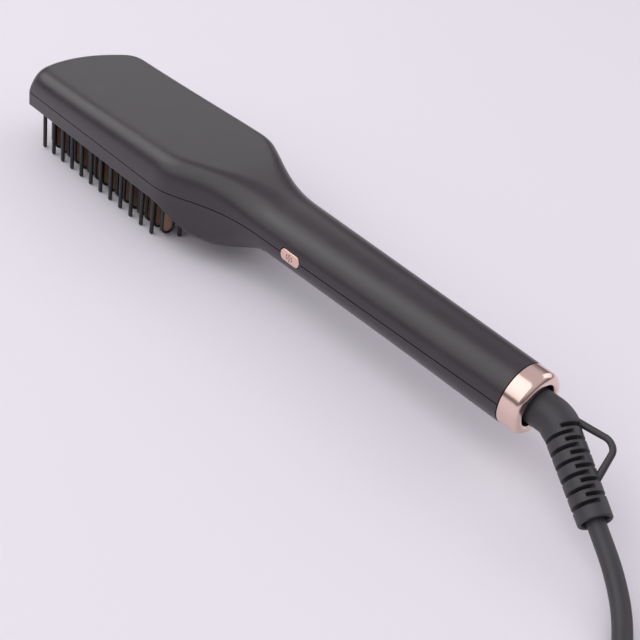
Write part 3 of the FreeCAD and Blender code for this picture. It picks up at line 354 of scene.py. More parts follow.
def cut_away(obj: bpy.types.Object, cutters: Sequence[bpy.types.Object], sharp_angle: float) -> None:
    """Cuts closed meshes out of an object and deletes them.

    Args:
        obj: The object that is cut.
        cutters: The closed meshes to take away.
        sharp_angle: Edges steeper than this many degrees stay sharp.
    """
    for cutter in cutters:
        modifier = obj.modifiers.new("cut", "BOOLEAN")
        modifier.operation = "DIFFERENCE"
        modifier.solver = "EXACT"
        modifier.object = cutter
    bpy.context.view_layer.update()
    settle(obj)
    for cutter in cutters:
        bpy.data.objects.remove(cutter)
    shade(obj.data, sharp_angle)


def settle(obj: bpy.types.Object) -> None:
    """Turns an object's evaluated result into its plain mesh and removes its modifiers.

    Args:
        obj: The object with live modifiers.
    """
    graph = bpy.context.evaluated_depsgraph_get()
    plain = bpy.data.meshes.new_from_object(obj.evaluated_get(graph))
    obj.modifiers.clear()
    obj.data = plain


def give(obj: bpy.types.Object, body: Body, slot: str, *nodes: str) -> bpy.types.Object:
    """Sets an object on its body and in place of its solids.

    Args:
        obj: The finished piece.
        body: The body that it rides on.
        slot: The record's material slot; not used.
        nodes: The solids that it stands for.

    Returns:
        The same object.
    """
    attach(obj, body.value)
    if nodes:
        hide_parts(*nodes)
    log.info("%s: %d faces on %s", obj.name, len(obj.data.polygons), body.value)
    return obj


def rounded_outline(half_length: float, half_height: float, corner: float, steps: int) -> list[Flat]:
    """A rectangle with round corners as points, anticlockwise from the right.

    Args:
        half_length: Half the length.
        half_height: Half the height.
        corner: Corner radius.
        steps: Steps in each corner.

    Returns:
        Points as (length, height).
    """
    points = []
    for turn, (sx, sy) in enumerate(((1, 1), (-1, 1), (-1, -1), (1, -1))):
        for step in range(steps + 1):
            angle = QUARTER_TURN * (turn + step / steps)
            points.append((sx * (half_length - corner) + corner * math.cos(angle),
                           sy * (half_height - corner) + corner * math.sin(angle)))
    return points


def prism(name: str, ends: Sequence[Sequence[Point]], finish: Finish) -> bpy.types.Object:
    """A closed prism between two outlines with the same number of points.

    Args:
        name: The object's name.
        ends: The two outlines.
        finish: The finish.

    Returns:
        The prism.
    """
    work = MeshRows()
    work.tube([work.row(end) for end in ends])
    return work.build(name, finish)


@dataclass
class Casing:
    """The two soft-touch shells, drawn from one outline."""

    head_half_width: float = 32.0
    head_rear_half_width: float = 31.4
    tip_sagitta: float = 11.5
    tip_fade: float = 45.0
    shoulder_start: float = 102.0
    shoulder_radius: float = 27.0
    shoulder_angle: float = math.radians(26.0)
    flank_run: float = 10.0
    neck_radius: float = 73.0
    handle_taper: float = math.radians(1.7)
    handle_end: float = 282.0
    end_radius: float = 12.45
    tip_top: float = 11.8
    neck_top: float = 14.8
    handle_top: float = 12.6
    neck_crest: float = 126.0
    neck_back: float = 162.0
    end_blend_start: float = 220.0
    edge_roll: float = 11.0
    roll_power: float = 2.5
    round_power: float = 2.0
    roll_start: float = 122.0
    roll_full: float = 156.0
    rim_depth: float = 6.9
    chin_depth: float = 19.2
    handle_low: float = 11.7
    chin_start: float = 102.0
    chin_crest: float = 130.0
    chin_back: float = 160.0
    rim_corner: float = 1.0
    corner_start: float = 114.0
    corner_full: float = 152.0
    oval_share: float = 0.98
    inner_corner_share: float = 0.3
    wall: float = 2.0
    groove_half: float = 0.2
    groove_depth: float = 0.7
    tip_rows: int = 16
    length_rows: int = 150
    columns: int = 72
    wall_columns: int = 4
    corner_columns: int = 22
    floor_columns: int = 16
    opening_front: float = -4.0
    opening_rear: float = 106.0
    opening_half_width: float = 28.0
    opening_corner: float = 12.0
    opening_overrun: float = 0.6
    opening_steps: int = 12
    screw_places: tuple[Point, ...] = ((124.0, -11.0, -7.0), (124.0, 11.0, -7.0), (243.6, 0.0, -7.0))
    screw_hole: float = 2.55
    screw_bore: float = 1.5
    screw_steps: int = 40
    boss_radius: float = 4.1
    boss_seat: float = 2.0
    boss_sink_share: float = 0.7
    button_gap: float = 0.35
    button_cut_out: float = 3.0
    button_cut_in: float = 5.0
    button_steps: int = 8
    cut_floor: float = -30.0
    sharp_angle: float = 35.0
    boss_sharp_angle: float = 30.0

    def __post_init__(self) -> None:
        """Works out where the outline changes from arc to line."""
        sine = math.sin(self.shoulder_angle)
        cosine = math.cos(self.shoulder_angle)
        self.shoulder_end = self.shoulder_start + self.shoulder_radius * sine
        self.shoulder_end_width = self.head_rear_half_width - self.shoulder_radius * (1 - cosine)
        self.flank_end = self.shoulder_end + self.flank_run
        self.flank_end_width = self.shoulder_end_width - self.flank_run * math.tan(self.shoulder_angle)
        self.neck_end = self.flank_end + self.neck_radius * (sine - math.sin(self.handle_taper))
        self.neck_end_width = self.flank_end_width - self.neck_radius * (math.cos(self.handle_taper) - cosine)
        self.tip_radius = (self.head_half_width ** 2 + self.tip_sagitta ** 2) / (2 * self.tip_sagitta)
        self.tip_centre = self.tip_radius - self.tip_sagitta

    def half_width(self, x: float) -> float:
        """Half the casing's width on the parting line.

        Args:
            x: Length from the tip corners.

        Returns:
            Half the width there.
        """
        if x <= self.shoulder_start:
            narrowing = self.head_half_width - self.head_rear_half_width
            return self.head_half_width - narrowing * max(x, 0.0) / self.shoulder_start
        if x < self.shoulder_end:
            rise = math.sqrt(self.shoulder_radius ** 2 - (x - self.shoulder_start) ** 2)
            return self.head_rear_half_width - self.shoulder_radius + rise
        if x < self.flank_end:
            return self.shoulder_end_width - (x - self.shoulder_end) * math.tan(self.shoulder_angle)
        if x < self.neck_end:
            arc_x = self.flank_end + self.neck_radius * math.sin(self.shoulder_angle)
            arc_y = self.flank_end_width + self.neck_radius * math.cos(self.shoulder_angle)
            return arc_y - math.sqrt(self.neck_radius ** 2 - (x - arc_x) ** 2)
        share = (x - self.neck_end) / (self.handle_end - self.neck_end)
        return self.neck_end_width + (self.end_radius - self.neck_end_width) * share

    def top_height(self, x: float) -> float:
        """Height of the casing's middle above the parting line.

        Args:
            x: Length from the tip corners.

        Returns:
            The height there.
        """
        height = self.tip_top + (self.neck_top - self.tip_top) * smooth(0.0, self.neck_crest, x)
        height += (self.handle_top - self.neck_top) * smooth(self.neck_crest, self.neck_back, x)
        return height + (self.end_radius - self.handle_top) * smooth(self.end_blend_start, self.handle_end, x)

    def low_depth(self, x: float) -> float:
        """Depth of the casing's middle below the parting line.

        Args:
            x: Length from the tip corners.

        Returns:
            The depth there.
        """
        chin_drop = self.chin_depth - self.rim_depth
        depth = self.rim_depth + chin_drop * smooth(self.chin_start, self.chin_crest, x)
        depth += (self.handle_low - self.chin_depth) * smooth(self.chin_crest, self.chin_back, x)
        return depth + (self.end_radius - self.handle_low) * smooth(self.end_blend_start, self.handle_end, x)

    def roll_width(self, x: float) -> float:
        """How far in from the edge the rounded top edge reaches."""
        rounding = smooth(self.roll_start, self.roll_full, x)
        return self.edge_roll + (self.half_width(x) - self.edge_roll) * rounding

    def top_power(self, x: float) -> float:
        """How full the rounded top edge is: fuller than round on the paddle, round on the handle."""
        rounding = smooth(self.roll_start, self.roll_full, x)
        return self.roll_power + (self.round_power - self.roll_power) * rounding

    def corner_size(self, x: float) -> tuple[float, float]:
        """Width and height of the rounded lower corner.

        Args:
            x: Length from the tip corners.

        Returns:
            The corner's width and height there.
        """
        share = smooth(self.corner_start, self.corner_full, x)
        width = self.rim_corner + (self.oval_share * self.half_width(x) - self.rim_corner) * share
        height = self.rim_corner + (self.oval_share * self.low_depth(x) - self.rim_corner) * share
        return width, height

    def tip_x(self, y: float, inset: float) -> float:
        """Length at which the tip's arc, or the arc inset within it, meets a width.

        Args:
            y: Distance from the middle.
            inset: How far within the outer face.

        Returns:
            The length there.
        """
        reach = self.tip_radius - inset
        held = min(abs(y), self.head_half_width - inset)
        return self.tip_centre - math.sqrt(reach ** 2 - held ** 2)

    def stations(self, inset: float, roll: float) -> tuple[float, list[float]]:
        """Where the cross-sections stand.

        Args:
            inset: How far within the outer face.
            roll: Length of the rounded tip edge.

        Returns:
            The tip corner's length, and each section's distance from it.
        """
        corner_x = self.tip_x(self.head_half_width, inset)
        along = [roll * (1 - c) for c, _ in quarter(self.tip_rows)[:-1]]
        left = self.handle_end - corner_x - roll
        along += [roll + left * step / self.length_rows for step in range(self.length_rows + 1)]
        return corner_x, along

    def top_rows(self, inset: float) -> np.ndarray:
        """Grid of the top cover's face, or of the face inset within it.

        Args:
            inset: How far within the outer face.

        Returns:
            Rows of points, tip first.
        """
        roll = self.edge_roll - inset
        lift = self.groove_half if inset == 0 else 0.0
        corner_x, along_all = self.stations(inset, roll)
        rows = []
        for along in along_all:
            side_x = corner_x + along
            width = self.half_width(side_x) - inset
            height = self.top_height(side_x) - inset - lift
            power = self.top_power(side_x)
            height *= max(1 - max(1 - along / roll, 0.0) ** power, 0.0) ** (1 / power)
            edge = self.roll_width(side_x) - inset
            row = []
            for step in range(self.columns + 1):
                y = -width * math.cos(math.pi * step / self.columns)
                over = max(abs(y) - (width - edge), 0.0) / edge
                z = lift + height * max(1 - over ** power, 0.0) ** (1 / power)
                x = side_x + (self.tip_x(y, inset) - corner_x) * (1 - smooth(0.0, self.tip_fade, along))
                row.append((x, y, z))
            rows.append(row)
        return np.array(rows)

    def low_rows(self, inset: float) -> np.ndarray:
        """Grid of the bottom cover's face, or of the face inset within it.

        Args:
            inset: How far within the outer face.

        Returns:
            Rows of points, tip first.
        """
        drop = self.groove_half if inset == 0 else 0.0
        corner_x, along_all = self.stations(inset, self.edge_roll - inset)
        rows = []
        for along in along_all:
            side_x = corner_x + along
            width = self.half_width(side_x) - inset
            depth = self.low_depth(side_x) - inset
            corner_width, corner_height = self.corner_size(side_x)
            corner_width = max(corner_width - inset, corner_width * self.inner_corner_share)
            corner_height = max(corner_height - inset, corner_height * self.inner_corner_share)
            half = []
            for step in range(self.wall_columns):
                share = step / self.wall_columns
                half.append((width, -drop - (depth - corner_height - drop) * share))
            for c, s in quarter(self.corner_columns)[:-1]:
                half.append((width - corner_width + corner_width * c,
                             -depth + corner_height - corner_height * s))
            for step in range(self.floor_columns):
                half.append(((width - corner_width) * (1 - step / self.floor_columns), -depth))
            section = [(-y, z) for y, z in half] + [(0.0, -depth)] + half[::-1]
            fade = 1 - smooth(0.0, self.tip_fade, along)
            rows.append([(side_x + (self.tip_x(y, inset) - corner_x) * fade, y, z) for y, z in section])
        return np.array(rows)

    def shell(self, name: str, outer: np.ndarray, inner: np.ndarray, groove: float,
              tip_wall: bool) -> bpy.types.Object:
        """Joins an outer and an inner face into one closed shell with a stepped parting edge.

        Args:
            name: The object's name.
            outer: The outer grid, tip first.
            inner: The inner grid, with as many rows and columns.
            groove: Height of the outer edge, above or below the parting plane.
            tip_wall: Whether the tip end is a wall down from the parting plane.

        Returns:
            The shell.
        """
        work = MeshRows()
        outer_index = [work.row(row) for row in outer]
        inner_index = [work.row(row) for row in inner]
        work.join(outer_index)
        work.join(inner_index)
        tip_outer = outer_index[0]
        tip_inner = inner_index[0]
        if tip_wall:
            tip_outer = work.row([(x, y, groove) for x, y, _ in outer[0]])
            tip_inner = work.row([(x, y, 0.0) for x, y, _ in inner[0]])
            work.join([outer_index[0], tip_outer])
            work.join([inner_index[0], tip_inner])
        step = self.groove_depth
        half = self.head_half_width - step
        spread = [max(min(y, half), -half) for y in outer[0][:, 1]]
        lip_points = [(self.tip_x(y, step), y, groove) for y in spread]
        lip = work.row(lip_points)
        ledge = work.row([(x, y, 0.0) for x, y, _ in lip_points])
        work.join([tip_outer, lip, ledge, tip_inner])
        for column, sign in ((0, -1), (-1, 1)):
            side = [(x, y - sign * step, groove) for x, y, _ in outer[:, column]]
            side[0] = lip_points[column]
            edge_lip = work.row(side)
            edge_ledge = work.row([(x, y, 0.0) for x, y, _ in side])
            outer_edge = [row[column] for row in outer_index]
            inner_edge = [row[column] for row in inner_index]
            work.join([outer_edge, edge_lip, edge_ledge, inner_edge])
        work.join([outer_index[-1], inner_index[-1]])
        return work.build(name, SOFT_BLACK, self.sharp_angle)

    def button_cutter(self, button: "PowerButton") -> bpy.types.Object:
        """A closed prism that opens the shells for the button.

        Args:
            button: The key that the opening fits.

        Returns:
            The prism.
        """
        gap = self.button_gap
        outline = rounded_outline(button.length / 2 + gap, button.height / 2 + gap, button.corner + gap,
                                  self.button_steps)
        side = self.half_width(button.place)
        ends = (-side - self.button_cut_out, -side + self.button_cut_in)
        outlines = [[(button.place + a, y, b) for a, b in outline] for y in ends]
        return prism("button_opening", outlines, SOFT_BLACK)

    def opening_cutter(self) -> bpy.types.Object:
        """A closed prism that opens the floor for the bristle frame.

        Returns:
            The prism.
        """
        middle = (self.opening_front + self.opening_rear) / 2
        half_length = (self.opening_rear - self.opening_front) / 2
        outline = rounded_outline(half_length, self.opening_half_width, self.opening_corner,
                                  self.opening_steps)
        levels = (self.cut_floor, self.wall - self.rim_depth + self.opening_overrun)
        outlines = [[(middle + a, b, z) for a, b in outline] for z in levels]
        return prism("bristle_opening", outlines, SOFT_BLACK)

    def screw_ring(self, x: float, y: float, z: float, radius: float) -> list[Point]:
        """A level circle of points about a screw's place."""
        return [(x + radius * c, y + radius * s, z) for c, s in circle(self.screw_steps)]

    def screw_cutter(self, x: float, y: float, seat: float) -> bpy.types.Object:
        """A closed cylinder that opens the floor for a case screw."""
        ends = [self.screw_ring(x, y, z, self.screw_hole) for z in (self.cut_floor, seat)]
        return prism("screw_opening", ends, SOFT_BLACK)

    def boss(self, x: float, y: float, seat: float) -> bpy.types.Object:
        """The sleeve inside the shell that the screw's head sits in.

        Args:
            x: Length of the screw's place.
            y: Its distance from the middle.
            seat: Height of the seat for the screw's head.

        Returns:
            The sleeve.
        """
        foot = self.wall * self.boss_sink_share - self.low_depth(x)
        top = seat + self.boss_seat
        profile = [(self.screw_hole, foot), (self.boss_radius, foot), (self.boss_radius, top),
                   (self.screw_bore, top), (self.screw_bore, seat), (self.screw_hole, seat)]
        work = MeshRows()
        rows = [work.row(self.screw_ring(x, y, z, radius)) for radius, z in profile + profile[:1]]
        work.join(rows, closed=True)
        return work.build("screw_boss", SOFT_BLACK, self.boss_sharp_angle)

    def build(self, button: "PowerButton") -> None:
        """Builds both shells and sets them on the handle.

        Args:
            button: The key that both shells leave room for.
        """
        top = self.shell("upper_shell", self.top_rows(0.0), self.top_rows(self.wall), self.groove_half, False)
        cut_away(top, [self.button_cutter(button)], self.sharp_angle)
        give(top, Body.HANDLE, "soft_black", "top_cover")
        low = self.shell("lower_shell", self.low_rows(0.0), self.low_rows(self.wall), -self.groove_half, True)
        cutters = [self.opening_cutter(), self.button_cutter(button)]
        cutters += [self.screw_cutter(*place) for place in self.screw_places]
        cut_away(low, cutters, self.sharp_angle)
        join_meshes(low, [self.boss(*place) for place in self.screw_places])
        give(low, Body.HANDLE, "soft_black", "bottom_cover")


def join_meshes(obj: bpy.types.Object, others: Sequence[bpy.types.Object]) -> None:
    """Adds other meshes to an object's own mesh and deletes them.

    Args:
        obj: The object that grows.
        others: The objects that go into it.
    """
    work = bmesh.new()
    work.from_mesh(obj.data)
    for other in others:
        work.from_mesh(other.data)
    work.to_mesh(obj.data)
    work.free()
    for other in others:
        bpy.data.objects.remove(other)


class NodeTree:
    """A Geometry Nodes tree under construction."""

    def __init__(self, name: str) -> None:
        """Starts a tree with a geometry input and output.

        Args:
            name: The tree's name.
        """
        self.tree = bpy.data.node_groups.new(name, "GeometryNodeTree")
        self.tree.interface.new_socket("Geometry", in_out="INPUT", socket_type="NodeSocketGeometry")
        self.tree.interface.new_socket("Geometry", in_out="OUTPUT", socket_type="NodeSocketGeometry")
        self.source = self.tree.nodes.new("NodeGroupInput")
        self.sink = self.tree.nodes.new("NodeGroupOutput")
        self.values: dict[str, float] = {}

    def size(self, name: str, value: float, whole: bool = False) -> bpy.types.NodeSocket:
        """Adds a named input and returns its socket.

        Args:
            name: The input's name.
            value: The value that the modifier gives it.
            whole: Whether it is a whole number.

        Returns:
            The socket on the tree's input node.
        """
        kind = "NodeSocketInt" if whole else "NodeSocketFloat"
        item = self.tree.interface.new_socket(name, in_out="INPUT", socket_type=kind)
        self.values[item.identifier] = int(value) if whole else float(value)
        return self.source.outputs[name]

    def node(self, kind: str, **inputs: object) -> bpy.types.Node:
        """Adds a node; an input is a socket to link or a value to set.

        Args:
            kind: The node's type.
            inputs: Sockets or values by input name, with spaces as underscores.

        Returns:
            The node.
        """
        made = self.tree.nodes.new(kind)
        for name, value in inputs.items():
            target = made.inputs[name.replace("_", " ")]
            if isinstance(value, bpy.types.NodeSocket):
                self.tree.links.new(value, target)
            else:
                target.default_value = value
        return made

    def reckon(self, operation: str, first: bpy.types.NodeSocket, second: float) -> bpy.types.NodeSocket:
        """Works out a value from a socket and a number.

        Args:
            operation: The sum's name.
            first: The socket.
            second: The number.

        Returns:
            The socket with the result.
        """
        made = self.tree.nodes.new("ShaderNodeMath")
        made.operation = operation
        self.tree.links.new(first, made.inputs[0])
        made.inputs[1].default_value = second
        return made.outputs[0]

    def lifted(self, geometry: bpy.types.NodeSocket, height: bpy.types.NodeSocket) -> bpy.types.NodeSocket:
        """Moves a shape up by a socket's value.

        Args:
            geometry: The shape.
            height: How far up it goes.

        Returns:
            The moved shape.
        """
        lift = self.node("ShaderNodeCombineXYZ", Z=height)
        moved = self.node("GeometryNodeTransform", Geometry=geometry, Translation=lift.outputs[0])
        return moved.outputs["Geometry"]

    def finish(self, geometry: bpy.types.NodeSocket, finish: Finish) -> None:
        """Ends the tree in Realize Instances and Set Material.

        Args:
            geometry: The shape that comes out.
            finish: Its finish.
        """
        real = self.node("GeometryNodeRealizeInstances", Geometry=geometry)
        painted = self.node("GeometryNodeSetMaterial", Geometry=real.outputs["Geometry"])
        painted.inputs["Material"].default_value = finish.material()
        self.tree.links.new(painted.outputs["Geometry"], self.sink.inputs["Geometry"])

    def apply(self, obj: bpy.types.Object) -> None:
        """Runs the tree on an object and keeps the result as its plain mesh.

        Args:
            obj: The object that the tree works on.
        """
        modifier = obj.modifiers.new(self.tree.name, "NODES")
        modifier.node_group = self.tree
        for identifier, value in self.values.items():
            modifier[identifier] = value
        bpy.context.view_layer.update()
        settle(obj)


@dataclass
class BristleField:
    """Plain pins round the edge, and rows of guarded metal teeth."""

    frame_top: float = -3.5
    frame_bottom: float = -5.9
    pin_radius: float = 0.95
    pin_head_radius: float = 1.6
    pin_head_height: float = 0.8
    pin_pitch: float = 8.414
    pin_first: float = 4.04
    pins_a_side: int = 12
    pin_row_half_width: float = 25.6
    tip_pin_shares: tuple[float, ...] = (-0.72, -0.36, 0.0, 0.36, 0.72)
    tip_pin_line: float = 0.5
    tip_pin_bow: float = 1.6
    rear_pin_shares: tuple[float, ...] = (-0.62, 0.0, 0.62)
    rear_pin_line: float = 104.2
    row_pitch: float = 6.05
    row_first: float = 10.25
    rows: int = 16
    tooth_places: tuple[float, ...] = (-20.4, -6.8, 6.8, 20.4)
    guard_width: float = 7.2
    guard_thickness: float = 1.8
    guard_arm: float = 1.05
    guard_reach: float = 27.2
    tooth_clearance: float = 0.08
    tooth_thickness: float = 0.8
    tooth_top: float = -1.0
    edge_round: float = 0.32
    pin_steps: int = 24
    pin_rings: int = 14
    pin_sharp_angle: float = 50.0
    guard_root: float = 1.0
    guard_steps: int = 20
    guard_corner_steps: int = 3
    guard_sharp_angle: float = SHARP_ANGLE
    tooth_chamfer: float = 0.12
    tooth_steps: int = 16
    tooth_sharp_angle: float = 30.0

    def pin_places(self) -> list[Flat]:
        """Where the plain pins stand.

        Returns:
            Each pin's length and its distance from the middle.
        """
        places = []
        for index in range(self.pins_a_side):
            x = self.pin_first + self.pin_pitch * index
            places += [(x, -self.pin_row_half_width), (x, self.pin_row_half_width)]
        for share in self.tip_pin_shares:
            x = self.tip_pin_line - self.tip_pin_bow * (1 - share ** 2)
            places.append((x, self.pin_row_half_width * share))
        places += [(self.rear_pin_line, self.pin_row_half_width * share) for share in self.rear_pin_shares]
        return places

    def build_pins(self) -> None:
        """One turned pin shape, set on every pin place."""
        tip = -PIN_REACH + self.pin_radius
        points = np.array([(x, y, tip) for x, y in self.pin_places()])
        obj = new_object("edge_pins", points, [], BLACK_NYLON, outward=False)
        tree = NodeTree("pins on the edge of the field")
        radius = tree.size("Pin Radius", self.pin_radius * MILLIMETRE)
        length = tree.size("Pin Length", (self.frame_top - tip) * MILLIMETRE)
        head = tree.size("Head Radius", self.pin_head_radius * MILLIMETRE)
        thick = tree.size("Head Height", self.pin_head_height * MILLIMETRE)
        shaft = tree.node("GeometryNodeMeshCylinder", Vertices=self.pin_steps, Radius=radius, Depth=length)
        shaft.fill_type = "NONE"
        ball = tree.node("GeometryNodeMeshUVSphere", Segments=self.pin_steps, Rings=self.pin_rings,
                         Radius=radius)
        cap = tree.node("GeometryNodeMeshCylinder", Vertices=self.pin_steps, Radius=head, Depth=thick)
        shaft_middle = tree.reckon("MULTIPLY", length, 0.5)
        head_middle = tree.reckon("ADD", length, self.pin_head_height * MILLIMETRE / 2)
        joined = tree.node("GeometryNodeJoinGeometry")
        for part in (tree.lifted(shaft.outputs["Mesh"], shaft_middle), ball.outputs["Mesh"],
                     tree.lifted(cap.outputs["Mesh"], head_middle)):
            tree.tree.links.new(part, joined.inputs["Geometry"])
        smooth_pin = tree.node("GeometryNodeSetShadeSmooth", Geometry=joined.outputs["Geometry"])
        spread = tree.node("GeometryNodeInstanceOnPoints", Points=tree.source.outputs["Geometry"],
                           Instance=smooth_pin.outputs["Geometry"])
        tree.finish(spread.outputs["Instances"], BLACK_NYLON)
        tree.apply(obj)
        shade(obj.data, self.pin_sharp_angle)
        give(obj, Body.HANDLE, "black_nylon", "bristle_pins")

    def repeat_rows(self, obj: bpy.types.Object, name: str, finish: Finish, sharp_angle: float) -> None:
        """Sets one row's mesh at every row's place.

        Args:
            obj: The object with the first row's mesh.
            name: The tree's name.
            finish: The rows' finish.
            sharp_angle: Edges steeper than this many degrees stay sharp.
        """
        tree = NodeTree(name)
        count = tree.size("Rows", self.rows, whole=True)
        pitch = tree.size("Row Pitch", self.row_pitch * MILLIMETRE)
        offset = tree.node("ShaderNodeCombineXYZ", X=pitch)
        line = tree.node("GeometryNodeMeshLine", Count=count, Offset=offset.outputs[0])
        spread = tree.node("GeometryNodeInstanceOnPoints", Points=line.outputs["Mesh"],
                           Instance=tree.source.outputs["Geometry"])
        tree.finish(spread.outputs["Instances"], finish)
        tree.apply(obj)
        shade(obj.data, sharp_angle)

    def build_guards(self) -> None:
        """The moulded U round each tooth, and the bar that joins a row."""
        work = MeshRows()
        section = rounded_outline(self.guard_arm / 2, self.guard_thickness / 2, self.edge_round,
                                  self.guard_corner_steps)
        mid = self.guard_width / 2 - self.guard_arm / 2
        low = self.guard_width / 2 - self.guard_reach
        root = self.frame_bottom + self.guard_root
        bend = [math.pi * step / self.guard_steps for step in range(1, self.guard_steps)]
        path = [(-mid, root, 0.0), (-mid, low, 0.0)]
        path += [(-mid * math.cos(angle), low - mid * math.sin(angle), angle) for angle in bend]
        path += [(mid, low, math.pi), (mid, root, math.pi)]
        for y in self.tooth_places:
            rows = []
            for side, z, angle in path:
                c, s = math.cos(angle), math.sin(angle)
                rows.append(work.row([(self.row_first + across, y + side + c * depth, z + s * depth)
                                      for depth, across in section]))
            work.tube(rows)
        end = self.tooth_places[-1] + self.guard_width / 2
        half = self.guard_thickness / 2
        corners = ((-half, self.frame_bottom), (half, self.frame_bottom), (half, self.frame_top),
                   (-half, self.frame_top))
        work.tube([work.row([(self.row_first + x, y, z) for x, z in corners]) for y in (-end, end)])
        obj = work.build("heat_guards", BLACK_NYLON)
        self.repeat_rows(obj, "rows of guards", BLACK_NYLON, self.guard_sharp_angle)
        give(obj, Body.HANDLE, "black_nylon", "guard_combs")

    def build_teeth(self) -> None:
        """The coated metal teeth inside the guards."""
        work = MeshRows()
        half = self.guard_width / 2 - self.guard_arm - self.tooth_clearance
        low = half + self.guard_arm + self.tooth_clearance - self.guard_reach
        bend = [math.pi * step / self.tooth_steps for step in range(1, self.tooth_steps)]
        outline = [(-1.0, self.tooth_top), (-1.0, low)]
        outline += [(-math.cos(angle), low - half * math.sin(angle)) for angle in bend]
        outline += [(1.0, low), (1.0, self.tooth_top)]
        flat = self.tooth_thickness / 2
        chamfer = self.tooth_chamfer
        layers = ((-flat, chamfer), (-flat + chamfer, 0.0), (flat - chamfer, 0.0), (flat, chamfer))
        for y in self.tooth_places:
            rows = []
            for x, inset in layers:
                share = 1 - inset / half
                place = self.row_first + x
                rows.append(work.row([(place, y + side * half * share, z + (inset if z < low else 0.0))
                                      for side, z in outline]))
            work.tube(rows)
        obj = work.build("heated_teeth", BRONZE_FIN, self.tooth_sharp_angle)
        self.repeat_rows(obj, "rows of teeth", BRONZE_FIN, self.tooth_sharp_angle)
        give(obj, Body.HANDLE, "bronze_fin", "heating_fins")

    def build(self) -> None:
        """Builds pins, guards and teeth."""
        self.build_pins()
        self.build_guards()
        self.build_teeth()


@dataclass
class EndRing:
    """The polished ring at the end of the handle."""

    start: float
    radius: float
    length: float = 8.8
    round_end: float = 2.9
    inner_round: float = 1.0
    hole_radius: float = 8.4
    hole_margin: float = 0.05
    lip: float = 3.5
    bore_radius: float = 9.8
    spigot: float = 7.0
    spigot_radius: float = 10.3
    joint_gap: float = 0.25
    break_drop: float = 0.3
    break_run: float = 0.2
    round_steps: int = 12
    inner_steps: int = 6
    around: int = 160
    sharp_angle: float = 35.0

    def profile(self) -> list[Flat]:
        """The ring's closed section as (length, radius), rounded where a hand meets it.

        Returns:
            The section's points in order.
        """
        root = self.start - self.spigot
        face = self.start + self.joint_gap
        end = self.start + self.length
        points = [(root, self.bore_radius), (root, self.spigot_radius), (face, self.spigot_radius),
                  (face, self.radius - self.break_drop), (face + self.break_run, self.radius)]
        outer, inner = self.round_end, self.inner_round
        points += [(end - outer + outer * s, self.radius - outer + outer * c)
                   for c, s in quarter(self.round_steps)]
        points += [(end - inner + inner * c, self.hole_radius + inner - inner * s)
                   for c, s in quarter(self.inner_steps)]
        return points + [(end - self.lip, self.hole_radius), (end - self.lip, self.bore_radius)]

    def build(self) -> None:
        """Turns the ring, with the wall of its hole black, and sets it on the handle."""
        work = MeshRows()
        profile = self.profile()
        rows = [work.row([(x, radius * s, radius * c) for c, s in circle(self.around)])
                for x, radius in profile + profile[:1]]
        work.join(rows, closed=True)
        ring = work.build("plated_ring", ROSE_PLATE, self.sharp_angle)
        ring.data.materials.append(BLACK_NYLON.material())
        # Faces lying wholly within the hole's radius take the black nylon finish; the rest of the ring stays
        # rose gold.
        inside = (self.hole_radius + self.hole_margin) * MILLIMETRE
        for face in ring.data.polygons:
            spots = [ring.data.vertices[index].co for index in face.vertices]
            if all(math.hypot(spot.y, spot.z - PIN_REACH * MILLIMETRE) < inside for spot in spots):
                face.material_index = 1
        give(ring, Body.HANDLE, "rose_gold", "end_ring")


